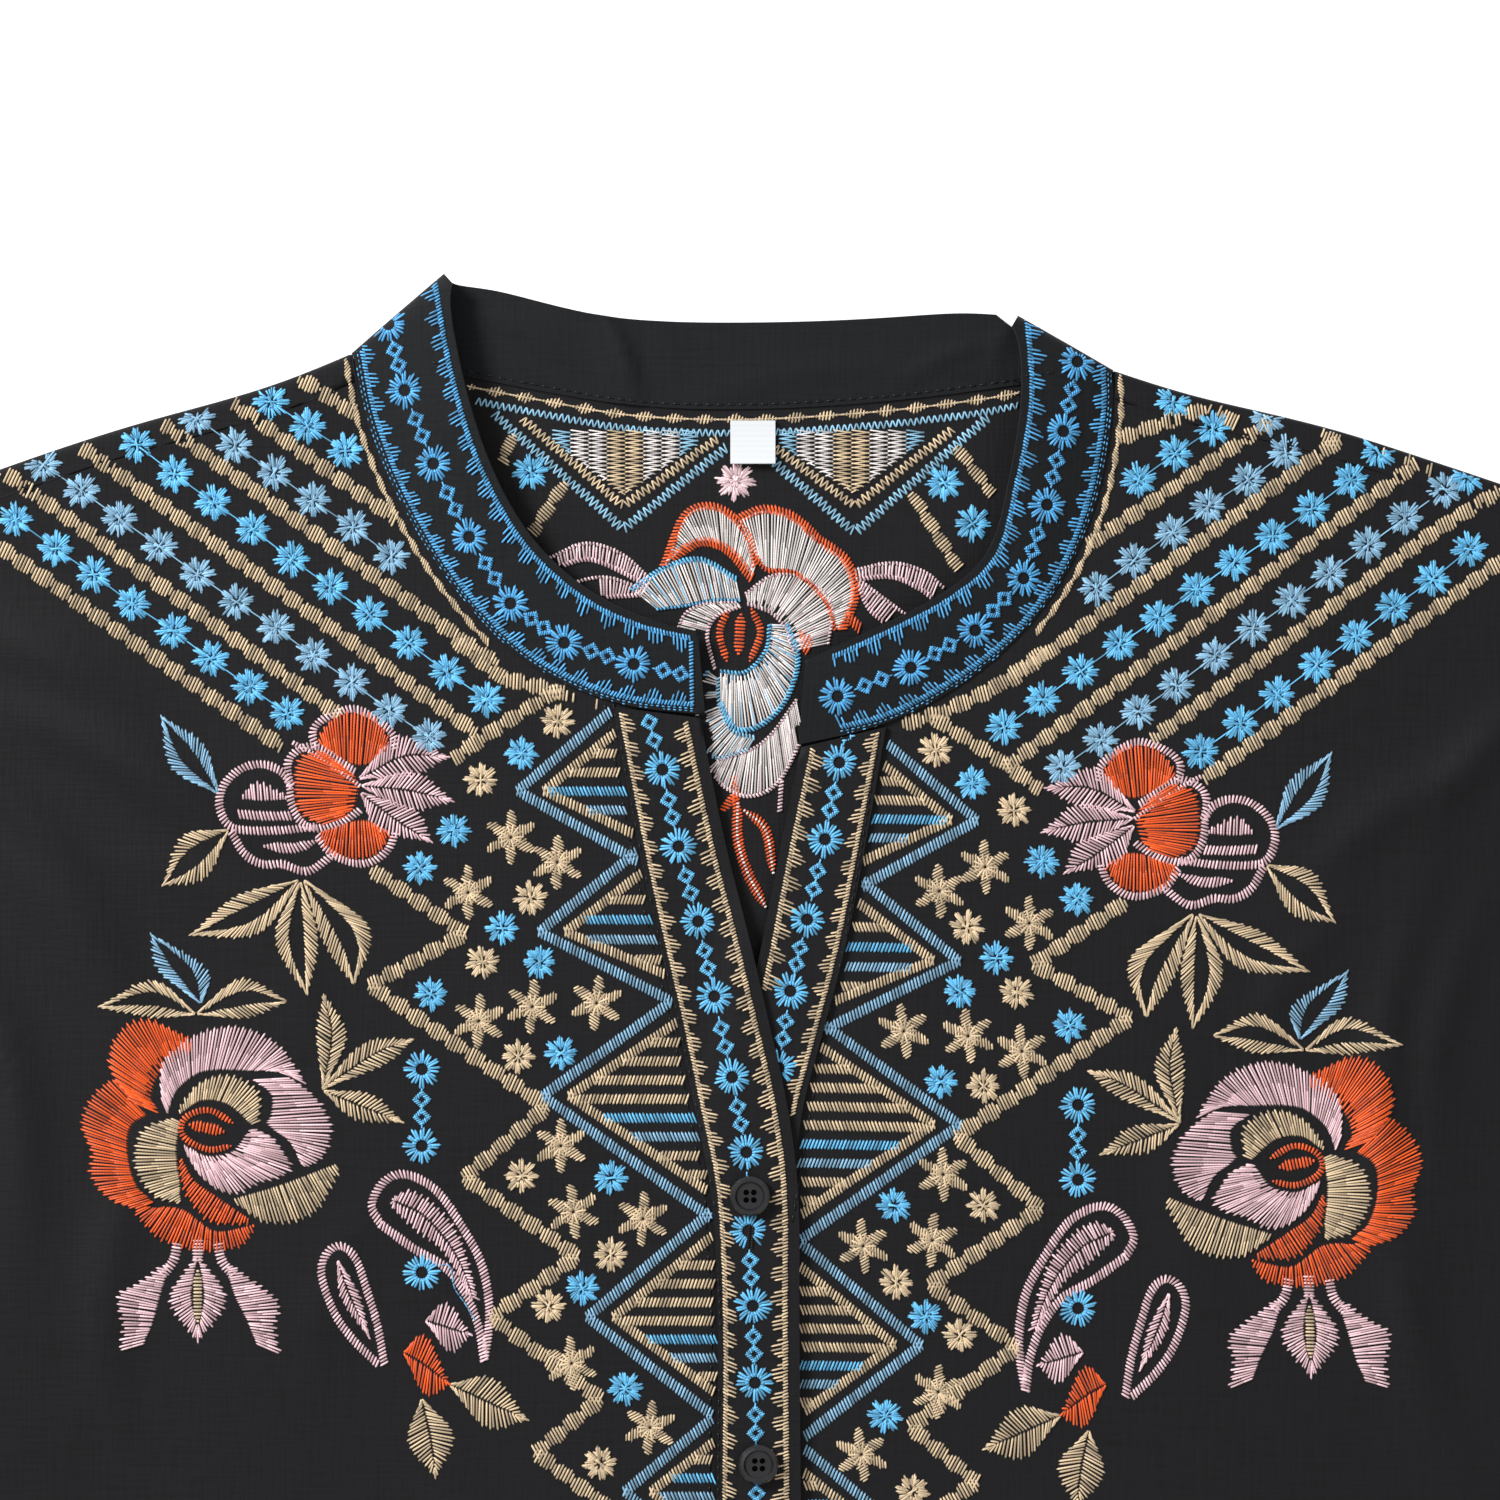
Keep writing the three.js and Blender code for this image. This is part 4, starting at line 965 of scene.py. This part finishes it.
# The tulip: three orange lobes with pink rims, pink petals, a bud and leaves.
tulip = np.array((-111.0, -121.0))
place = "embroidery_tulips"
lobes = [
    ([(-8.5, 9.5), (-2.5, 5.5), (3, 4.5), (8, 8)], [(-10, 12.5), (-6, 18), (0, 20), (6, 18), (10, 12)]),
    ([(-1.5, 3.5), (1.5, 0), (1, -5), (-1, -9)],
     [(-9.5, 9), (-15.5, 6.5), (-17, 0), (-15.5, -8), (-9.5, -12)]),
    ([(-8.5, -13.5), (-3, -11.5), (3, -10.5), (8.5, -13)],
     [(-10, -15.5), (-6.5, -20), (0, -21.7), (6, -20.5), (10, -15.5)]),
]
for inner, outer in lobes:
    fan(place, "orange", shifted(tulip, *inner), shifted(tulip, *outer), both=True)
rims = [
    [(-11, 10), (-11.5, 14.5), (-8, 18), (-1, 20.5), (5, 18.5), (10.5, 14), (11.5, 9.5)],
    [(0, 3), (-5.5, 7), (-10.5, 10), (-15.5, 9), (-18.5, 5.5), (-18, -1), (-17.5, -6), (-15, -11),
     (-11, -13), (-4, -11.5), (1.5, -8)],
    [(-10, -15), (-7, -19.5), (-1, -22.5), (4.5, -22.5), (9.5, -19), (11.5, -14.5)],
]
for rim in rims:
    satin(place, "pink", shifted(tulip, *rim), 2.7, 12, both=True)
satin(place, "pink", shifted(tulip, (-17, 11), (-8, 6), (1.5, -1)), 1.6, both=True)
petalRows = [
    [(1.5, 1), (27, 7), (12, 13), (16, 1.5)],
    [(2, -1), (28, -5.5), (17, 3), (15, -8)],
    [(2, -3), (22, -17), (17.5, -8), (6.5, -13.5)],
]
for row in petalRows:
    leaf("filled", place, "pink", *shifted(tulip, *row), both=True)
bud = {
    "rim": [(-17.5, -1), (-20.5, 3), (-26, 5), (-32, 3.5), (-36.5, -1), (-37.5, -6.5), (-35, -12),
            (-30, -13.5), (-20, -13.5), (-11, -12.5)],
    "inner": [(-31, -5), (-25, -5.5), (-19, -5)],
    "outer": [(-31, -3), (-27, 0), (-19, -3.5)],
    "bar": [(-32, -9), (-25, -9.5), (-18, -9.5)],
    "lowRim": [(-34, -14), (-30.5, -20), (-25.5, -23), (-20, -23), (-13, -25), (-6, -20.5)],
    "lowBar": [(-25, -18), (-17, -18.5), (-10.5, -16.5)],
}
satin(place, "pink", shifted(tulip, *bud["rim"]), 2.8, 12, both=True)
fan(place, "pink", shifted(tulip, *bud["inner"]), shifted(tulip, *bud["outer"]), both=True)
satin(place, "pink", shifted(tulip, *bud["bar"]), 3.2, 20, both=True)
satin(place, "pink", shifted(tulip, *bud["lowRim"]), 2.8, 12, both=True)
satin(place, "pink", shifted(tulip, *bud["lowBar"]), 3.6, 20, taper=6, both=True)
leafRows = [
    ("greyBlue", (-38, -3), (-54, 18.5), (-51, 4), (-42, 10.5)),
    ("tan", (-35, -13.5), (-53.5, -29), (-48, -15), (-41.5, -27)),
    ("tan", (-15.5, -27.5), (-46, -43), (-33, -32), (-26.5, -42.5)),
    ("tan", (-15, -28), (-13, -60), (-22, -44), (-10, -44)),
    ("tan", (-14, -27.5), (0, -57), (-8, -46), (4.5, -41)),
]
for colour, *points in leafRows:
    leaf("hollow", "embroidery_leaves", colour, *shifted(tulip, *points), both=True)
print("tulips sewn")

# The paisleys: a large one with a filled fringe and a small one with a leaf in it, and the bud below.
place = "embroidery_paisleys"
paisley = {
    "rim": [(-103.5, -245), (-106, -239.5), (-102.5, -233), (-96.5, -231), (-88, -235.5), (-80.5, -246),
            (-75, -257), (-73, -270), (-74.5, -283)],
    "back": [(-103.5, -245), (-94, -252), (-85.5, -257), (-79.5, -265), (-76, -274), (-74.5, -283)],
    "spine": [(-99.5, -238.5), (-91, -243), (-82.5, -253.5), (-77, -267)],
    "fringes": [
        [(-100.5, -237.5), (-93.5, -236), (-82.5, -246.5), (-76, -266)],
        [(-101, -239.5), (-94.5, -246), (-85.5, -253.5), (-78, -267)],
    ],
    "smallRim": [(-104.5, -284), (-111.5, -277), (-116.5, -269.5), (-120, -259), (-118.5, -253),
                 (-114.5, -251), (-110.5, -254.5), (-107.5, -263), (-104.5, -273), (-102.5, -284)],
    "smallLeaf": [(-115.5, -255), (-106.5, -277), (-109.5, -264.5), (-114.5, -266)],
    "looseThread": [(-87, -256.5), (-84, -256.5), (-83, -262.5), (-80, -267), (-77, -272)],
    "bud": [
        ("pink", (-91, -272), (-78, -276), (-85, -267), (-84, -281)),
        ("orange", (-97, -281), (-84, -290), (-91, -276), (-91, -293)),
        ("tan", (-84, -290), (-62, -300), (-72, -288), (-74, -302)),
        ("tan", (-92, -294), (-88, -316), (-96, -306), (-83, -304)),
    ],
}
satin(place, "pink", paisley["rim"], 3.0, 20, both=True)
satin(place, "pink", paisley["back"], 3.0, 20, both=True)
for fringe in paisley["fringes"]:
    fan(place, "pink", paisley["spine"], fringe, slide=0.06, single=9, both=True)
satin(place, "pink", paisley["smallRim"], 2.8, 20, both=True)
leaf("filled", place, "pink", *paisley["smallLeaf"], both=True)
spots = walk(paisley["looseThread"], 2.0)[0]
sew(place, "azure", spots[:-1], spots[1:], 0.4, 0.3)  # left loose between two flowers
for colour, *points in paisley["bud"]:
    leaf("filled", place, colour, *points, both=True)
print("paisleys sewn")

# The back shows the underside of its stitches through the neck: a cord and a zigzag under the band.
inside = ("back_panel",)
place = "embroidery_back"
neckLine = [(-84, -9), (-60, -13.6), (-32, -18.2), (0, -19.2), (34, -17.2), (62, -14), (80, -11)]
neckZigzag = [(-77, -14), (-60, -17.4), (-32, -22), (0, -23), (34, -21), (62, -17.8), (77, -15)]
neckBeads = {
    "pitch": 0.95, "bead": 8.5, "sharp": 3, "thin": 0.3, "thick": 1.5, "uneven": 0.2, "lean": 76,
    "width": 0.6, "along": 0.5,
}
beaded(place, "tan", neckLine, neckBeads, on=inside)
zigzag(place, "paleBlue", neckZigzag, 2.4, on=inside)
# two triangles below it, filled row by row in columns of colour
backTriangles = [
    {"outer": [(-72, -17.5), (-35.5, -50), (-6.5, -27)], "inner": [(-64, -19), (-35.5, -43.5), (-9, -24.5)],
     "fill": [(-55.5, -25), (-35.5, -40.5), (-14.5, -26)]},
    {"outer": [(2, -27), (29.5, -51), (67, -18.5)], "inner": [(4, -25), (29.5, -43.5), (57, -22)],
     "fill": [(8, -26), (29, -40), (49, -25)]},
]
fillRows = {
    "top": -22.6, "step": 0.58, "tilt": 0.42, "overlap": 0.2, "shortest": 1, "width": 0.48, "lift": 0.05,
}
columns = ("paleBlue", "bobbin", "bobbin", "tan", "tan", "bobbin", "bobbin", "paleBlue")
for row in backTriangles:
    for colour, key, width in (("paleBlue", "outer", 3.2), ("tan", "inner", 3.0)):
        zigzag(place, colour, row[key], width, curved=False, on=inside)
    (left, top), (apexX, apexY), (right, topRight) = row["fill"]
    edges = np.linspace(left, right, len(columns) + 1)
    for index, y in enumerate(np.arange(fillRows["top"], apexY, -fillRows["step"])):
        low, high = np.interp(y, (apexY, top), (apexX, left)), np.interp(y, (apexY, topRight), (apexX, right))
        tilt = fillRows["tilt"] if index % 2 else -fillRows["tilt"]
        for colour, first, last in zip(columns, edges, edges[1:]):
            a, b = max(first, low) - fillRows["overlap"], min(last, high) + fillRows["overlap"]
            if b - a > fillRows["shortest"]:
                ends = [(a, y - tilt)], [(b, y + tilt)]
                sew(place, colour, *ends, fillRows["width"], fillRows["lift"], on=inside)
for size in (6.0, 5.2):
    star(place, "palePink", [(-4, -36.5)], size, on=inside)
star(place, "azure", [(-61.5, -34), (54.5, -37), (62.5, -48.5)], 5.6, on=inside)
for points in (
    [(-66.5, -23.5), (-69.5, -31)], [(-52, -37), (-61, -51)],
    [(58, -27), (68, -40)], [(45.5, -40), (58.5, -61)],
):
    rope(place, "tan", points, 4.2, on=inside)
# the flower's petals of pale bobbin thread: rim colour, widths of the outer and the inner rim, and both lines
backPetals = [
    ("orange", 3.0, 3.6, [(-22, -58), (-13.7, -53.6), (-6, -56), (0.4, -63.5)],
     [(-24, -60), (-18, -46), (-9, -44), (-1, -51), (1.5, -60)]),
    ("orange", 3.4, 1.8, [(2, -58), (5, -61.5), (13, -62.5), (21, -70), (24, -78)],
     [(-3, -47), (4, -44.5), (12, -46.5), (19.5, -53), (27, -59), (29.5, -68), (26, -78)]),
    ("azure", 2.2, 1.0, [(-26, -72.5), (-18, -71.5), (-10, -70), (-3, -70)],
     [(-33, -67), (-24, -61), (-14, -58.6), (-4, -64)]),
    ("palePink", 1.2, 1.4, [(-0.5, -71), (6, -73.5), (10, -78), (12, -84)],
     [(-1, -68), (6.5, -63), (16, -64), (23, -71.5), (22, -82)]),
    ("palePink", 1.2, 1.4, [(-3, -71.8), (-9.5, -74.5), (-12, -80), (-10, -89)],
     [(-4, -70.5), (-13, -71), (-19, -75), (-20, -84), (-14, -91)]),
    ("azure", 2.0, 1.6, [(-8, -90), (-1, -90), (4.5, -84), (5.5, -77)],
     [(-8, -99), (-4, -106), (3, -105), (10, -98), (13.5, -87), (10.5, -77)]),
    ("paleBlue", 1.6, 1.8, [(-9, -92), (-8.5, -99), (-5, -106.5), (1, -108.5)],
     [(-12, -90), (-15, -97), (-15, -106), (-10, -114), (-1, -112)]),
    ("palePink", 1.4, 1.0, [(-9, -115), (0, -112), (6, -107.5), (13, -98)],
     [(-11.5, -117), (-7, -122.5), (0, -125), (8, -121), (15, -108)]),
]
for rim, outerWidth, innerWidth, inner, outer in backPetals:
    fan(place, "bobbin", inner, outer, step=0.95, width=0.54, ragged=0.2, on=inside)
    if rim != "orange":
        fan(place, rim, inner, outer, step=3.4, width=0.4, ragged=0.2, on=inside, lift=0.08)
    satin(place, rim, outer, outerWidth, 24, lift=0.12, on=inside)
    satin(place, rim, inner, innerWidth, 24, lift=0.12, on=inside)
# two orange tips beside the petals, and the heart's three bars
for points, width, lean, taper in (
    ([(14, -79), (18, -86), (20, -92)], 5.0, 30, 4),
    ([(27, -74), (30, -77), (33, -80)], 4.0, 30, 2),
    ([(-6, -72.5), (-8.5, -79), (-6.5, -87)], 2.4, 0, 2.4),
    ([(-2.5, -74), (-3.2, -85)], 3.4, 0, 2.4),
    ([(0.5, -72.5), (3, -79), (0, -87)], 2.4, 0, 2.4),
):
    satin(place, "orange", points, width, lean, taper=taper, on=inside)
# its two bands of leaves
for outer, inner in (
    ([(-56, -58), (-46, -54), (-36, -57), (-28, -64)], [(-55, -61), (-46, -58.5), (-38, -61), (-29, -66)]),
    ([(-53, -66), (-41, -63.5), (-29.5, -67)], [(-51, -69), (-40, -69), (-31, -68.5)]),
    ([(29.5, -61.5), (40, -59.5), (49, -62), (55, -67)], [(30, -64), (40, -63.5), (48, -67), (53, -71)]),
    ([(31, -64.5), (37, -69), (45, -75)], [(30.5, -66), (34, -73), (42, -79)]),
):
    fan(place, "palePink", inner, outer, step=1.0, on=inside)
    satin(place, "pink", inner, 1.7, 20, lift=0.1, on=inside)
    satin(place, "palePink", outer, 1.2, 20, lift=0.1, on=inside)
# and its stalk
satin(place, "orange", [(-4.3, -119.5), (-3.8, -129)], 2.6, 20, on=inside)
satin(place, "orange", [(-3.2, -123.5), (-8.2, -129.5)], 3.2, 20, taper=3, on=inside)
for points, width in (
    ([(-3.4, -127), (-3.4, -137), (-0.6, -146.5), (4.4, -156)], 3.8),
    ([(-1.5, -129), (4.4, -134.5), (6.6, -146.5)], 3.4),
):
    satin(place, "orange", points, width, 20, taper=5, on=inside)
    satin(place, "bobbin", points, 0.9, on=inside, lift=0.14)
satin(place, "palePink", [(8.8, -121), (8.4, -129)], 1.8, 20, on=inside)
print("back sewn")

# Seams: cords of the same cloth lie in the ditch of each. Its line, the pieces on both sides, and the
# least height at which their upper layers lie.
shoulderEdge = {
    "left": [(-111.4, -1.1), (-136, -11.2), (-165, -18.8), (-195, -28.2), (-225, -39)],
    "right": [(101.6, -5.9), (126.6, -14), (156.5, -20.2), (190.4, -31), (226, -43)],
}
armhole = {
    "left": [(-225, -39), (-221, -105), (-229, -170), (-252, -222), (-295, -262)],
    "right": [(226, -43), (221, -108), (228, -174), (251, -226), (293, -266)],
}


def beside(points, away):
    # the same line, so far to its left
    line = smoothed(points)
    way = np.gradient(line, axis=0)
    way /= np.linalg.norm(way, axis=1)[:, None]
    return line + turned(way, 90) * away


neckBack = [(-88, -5.5), (-60, -11), (-32, -15.6), (0, -16.5), (34, -14.6), (62, -11.4), (84, -8.2)]
outside = ("front_panel",)
seamLines = [
    {"line": neckBack, "pieces": (band, inside), "above": 0.0, "curved": True},
    {"line": bandRows["left"]["seam"], "pieces": (band, bodice), "above": 1.2, "curved": True},
    {"line": bandRows["right"]["seam"], "pieces": (band, bodice), "above": 1.2, "curved": True},
    {"line": beside(shoulderEdge["left"], 6.0), "pieces": (inside, outside), "above": 1.2, "curved": False},
    {"line": beside(shoulderEdge["right"], -6.0), "pieces": (inside, outside), "above": 1.2, "curved": False},
    {"line": armhole["left"], "pieces": (("sleeve_left",), bodice), "above": 1.2, "curved": True},
    {"line": armhole["right"], "pieces": (("sleeve_right",), bodice), "above": 1.2, "curved": True},
]
cord = {
    "step": 1.6, "half": 0.42, "search": 2.4, "fine": 0.1, "widest": 1.2, "least": 0.02,
    "profile": ((-1.0, -0.7), (-0.8, -0.05), (-0.3, 0.12), (0.3, 0.12), (0.8, -0.05), (1.0, -0.7)),
}


def heightsAcross(spot, out, offsets, nodes, above):
    found = np.full(len(offsets), -1.0)
    for index, offset in enumerate(offsets):
        for node in nodes:
            height = topOf(trees[node], spot[0] + out[0] * offset, spot[1] + out[1] * offset)
            if height > above:
                found[index] = max(found[index], height)
    return found


def seamCord(form, row):
    # find the gap between the two edges, then lay a soft cord into it
    spots, way = walk(row["line"], cord["step"], row["curved"])[:2]
    out = turned(way, 90)
    offsets = np.arange(-cord["search"], cord["search"] + cord["fine"] / 2, cord["fine"])
    middle, level = np.full(len(spots), np.nan), np.full(len(spots), np.nan)
    for index, spot in enumerate(spots):
        low, high = (heightsAcross(spot, out[index], offsets, nodes, row["above"]) for nodes in row["pieces"])
        if (low > 0).sum() < 3 or (high > 0).sum() < 3:
            continue
        if offsets[low > 0].mean() >= offsets[high > 0].mean():
            low, high = high, low
        left, right = offsets[low > 0].max(), offsets[high > 0].min()
        if abs(right - left) < cord["widest"]:
            middle[index] = (left + right) / 2
            level[index] = min(low[offsets == left][0], high[offsets == right][0])
    good = ~np.isnan(middle)
    if good.sum() < 3:
        return
    order = np.arange(len(spots))
    middle = np.interp(order, order[good], middle[good])
    level = np.interp(order, order[good], level[good])
    level = np.convolve(np.pad(level, 1, mode="edge"), (0.25, 0.5, 0.25), mode="valid")
    spots = spots + out * middle[:, None]
    rings = [
        [Vector(((spot[0] + o[0] * cord["half"] * u) * mm + neckX,
                 (spot[1] + o[1] * cord["half"] * u) * mm + neckY,
                 max(z + v, cord["least"]) * mm)) for u, v in cord["profile"]]
        for spot, o, z in zip(spots, out, level)
    ]
    start = [form.verts.new(corner) for corner in rings[0]]
    face = form.faces.new(start)
    for ring in rings[1:]:  # drawn on from ring to ring, with no wall left inside
        made = bmesh.ops.extrude_face_region(form, geom=[face])["geom"]
        if face.is_valid:
            form.faces.remove(face)
        face = next(item for item in made if isinstance(item, bmesh.types.BMFace))
        for vert, corner in zip(face.verts, ring):
            vert.co = corner
    form.faces.new(start[::-1])


mesh = bpy.data.meshes.new("seam_cords")
form = bmesh.new()
for row in seamLines:
    seamCord(form, row)
bmesh.ops.recalc_face_normals(form, faces=form.faces)
form.to_mesh(mesh)
form.free()
mesh.shade_smooth()
mesh.materials.append(clothMaterials["body"])
seamCords = placed("seam_cords", mesh)
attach(seamCords, "root")
print("seam cords", len(mesh.polygons) * 2, "triangles")

# Black topstitching: line, and how far to its left the row runs.
overSeam = list(zip(seamX, seamY))[::-1]
underSeam = toRight(np.array(overSeam[:6], float))
topRows = [
    (neckBack, 1.5),
    (armhole["left"], 1.6), (armhole["left"], 7.0), (armhole["right"], -1.6), (armhole["right"], -7.0),
    (overSeam, 1.2), (overSeam, -1.2), (underSeam, -1.2),
    ([(-310, -712), (-240, -727), (-120, -735), (2, -737), (120, -735), (240, -729), (309, -714)], 20.0),
    ([(-578, -298), (-546, -340), (-482.5, -420)], 19.0), ([(572, -310), (538, -350), (472.5, -429)], -19.0),
]
for points, away in topRows:
    line = beside(points, away)
    running("topstitching", "black", line, 2.3, 0.8, 0.46, False, on=tuple(clothNames))
print("seams sewn")

# Thread meshes: each stitch is a small tube with pointed ends, with a ring more on a long one.
threadShape = {
    "shortRings": (0.16, 0.84), "longRings": (0.09, 0.5, 0.91), "longFrom": 4.6, "least": 0.35,
    "corners": ((-0.5, 0.0), (-0.27, 1.0), (0.27, 1.0), (0.5, 0.0)), "loose": 0.09, "crown": 1.15,
}


def tubeFaces(ringCount):
    faces = []
    end, last = 1 + ringCount * 4, 1 + (ringCount - 1) * 4
    for corner in range(4):
        following = (corner + 1) % 4
        faces.append((0, 1 + following, 1 + corner))
        faces.append((end, last + corner, last + following))
        for low in range(1, last, 4):
            faces.append((low + corner, low + following, low + 4 + following))
            faces.append((low + corner, low + 4 + following, low + 4 + corner))
    return np.array(faces)


def tubePoints(part, rings):
    a, b, width = part[:, 0:2], part[:, 2:4], part[:, 4:5]
    count, size = len(part), 2 + 4 * len(rings)
    reach = b - a
    length = np.linalg.norm(reach, axis=1)
    side = np.column_stack([-reach[:, 1], reach[:, 0]]) / length[:, None]
    lift = part[:, 6] + chance.uniform(0, threadShape["loose"], count)
    points, uvs = np.zeros((count, size, 3)), np.zeros((count, size, 2))
    for index, t in ((0, 0.0), (size - 1, 1.0)):
        spot = a + reach * t
        points[:, index, :2] = spot
        points[:, index, 2] = surfaceAt(spot) - needle["sink"] + lift
        uvs[:, index] = np.column_stack([length * t, np.full(count, 0.4)])
    for ring, t in enumerate(rings):
        spot = a + reach * t
        ground = surfaceAt(spot) + lift
        crest = needle["height"] * width[:, 0] / needle["width"] * (threadShape["crown"] if t == 0.5 else 1.0)
        for corner, (out, up) in enumerate(threadShape["corners"]):
            index = 1 + ring * 4 + corner
            points[:, index, :2] = spot + side * width * out
            points[:, index, 2] = ground + (crest * up if up else -needle["sink"])
            uvs[:, index] = np.column_stack([length * t, np.full(count, corner * 0.33)])
    return points, uvs


def threadMesh(name, rows):
    length = np.hypot(rows[:, 2] - rows[:, 0], rows[:, 3] - rows[:, 1])
    rows, length = rows[length > threadShape["least"]], length[length > threadShape["least"]]
    long = length > threadShape["longFrom"]
    allPoints, allFaces, allMaterials, allShades, allUvs = [], [], [], [], []
    base = 0
    for part, rings in ((rows[~long], threadShape["shortRings"]), (rows[long], threadShape["longRings"])):
        if not len(part):
            continue
        points, uvs = tubePoints(part, rings)
        faces = tubeFaces(len(rings))
        count, size = points.shape[:2]
        allFaces.append((faces[None] + base + (np.arange(count) * size)[:, None, None]).reshape(-1, 3))
        allPoints.append(points.reshape(-1, 3))
        allUvs.append(uvs.reshape(-1, 2))
        allMaterials.append(np.repeat(part[:, 5].astype(int), len(faces)))
        allShades.append(np.repeat(chance.uniform(0.2, 1.0, count), size))
        base += count * size
    points = np.vstack(allPoints) * mm + (neckX, neckY, 0)
    faces, uvs = np.vstack(allFaces), np.vstack(allUvs)
    mesh = bpy.data.meshes.new(name)
    mesh.from_pydata(points.tolist(), [], faces.tolist())
    used, slots = np.unique(np.concatenate(allMaterials), return_inverse=True)
    for index in used:
        mesh.materials.append(threadMaterials[index])
    mesh.polygons.foreach_set("material_index", slots.astype(np.int32))
    mesh.attributes.new("shade", "FLOAT", "POINT").data.foreach_set("value", np.concatenate(allShades))
    mesh.uv_layers.new(name="thread").data.foreach_set("uv", uvs[faces.ravel()].ravel())
    mesh.shade_smooth()
    mesh.update()
    piece = placed(name, mesh)
    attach(piece, "root")
    return piece


threadPieces = {}
total = 0
for name, parts in work.items():
    rows = np.vstack(parts)
    threadPieces[name] = threadMesh(name, rows)
    total += len(threadPieces[name].data.polygons)
    print("thread", name, len(rows), "stitches", len(threadPieces[name].data.polygons), "triangles")
print("thread triangles in all", total)

# The blank size label, and the buttons' finish.
label = {"top": -19.6, "foot": -31.8}
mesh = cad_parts["size_label"].data.copy()
form = bmesh.new()
form.from_mesh(mesh)
bmesh.ops.remove_doubles(form, verts=form.verts, dist=0.01 * mm)
tall = labelHigh.y - labelLow.y
for vert in form.verts:
    part = (vert.co.y - labelLow.y) / tall
    vert.co.y = neckY + (label["foot"] + (label["top"] - label["foot"]) * part) * mm
form.to_mesh(mesh)
form.free()
mesh.materials.clear()
mesh.materials.append(labelMaterial)
sizeLabel = placed("size_ribbon", mesh)
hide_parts("size_label")
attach(sizeLabel, "root")
for node in ("button_upper", "button_lower"):
    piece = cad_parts[node]
    piece.data.materials.clear()
    piece.data.materials.append(buttonMaterial)

# Floor, light and camera.
floorMaterial = newMaterial("pale_floor", {
    "Roughness": 0.9, "Base Color": srgb(250, 250, 250),
    "Emission Color": (1, 1, 1, 1), "Emission Strength": 0.3,  # a lit table
})[0]
form = bmesh.new()
bmesh.ops.create_grid(form, x_segments=2, y_segments=2, size=3.0)
mesh = bpy.data.meshes.new("floor")
form.to_mesh(mesh)
form.free()
mesh.materials.append(floorMaterial)
floor = placed("floor", mesh)

studio = {
    "world": 0.5, "aim": 110.0,  # the lamps aim this far below the neck
    "lamps": [
        {"name": "key", "place": (-1.5, 1.3, 1.2), "size": 0.7, "power": 61},
        {"name": "fill", "place": (1.2, -0.8, 1.9), "size": 1.6, "power": 8},
    ],
}
world = bpy.data.worlds.new("studio")
world.use_nodes = True
setInputs(world.node_tree.nodes["Background"], {"Strength": studio["world"], "Color": (1, 1, 1, 1)})
bpy.context.scene.world = world
aim = Vector((neckX, neckY - studio["aim"] * mm, 0))
for row in studio["lamps"]:
    lamp = bpy.data.lights.new(row["name"], "AREA")
    lamp.size = row["size"]
    lamp.energy = row["power"]
    holder = placed(row["name"], lamp)
    holder.location = row["place"]
    holder.rotation_euler = (aim - holder.location).to_track_quat("-Z", "Y").to_euler()

view = {"y": -112.0, "across": 420.0, "lens": 100.0, "sensor": 36.0, "cloth": 4.0}
camera = bpy.data.cameras.new("camera")
camera.lens = view["lens"]
camera.sensor_width = view["sensor"]
distance = view["across"] * view["lens"] / view["sensor"]
holder = placed("camera", camera)
holder.location = (neckX, neckY + view["y"] * mm, (distance + view["cloth"]) * mm)
bpy.context.scene.camera = holder
bpy.context.scene.view_settings.view_transform = "Standard"
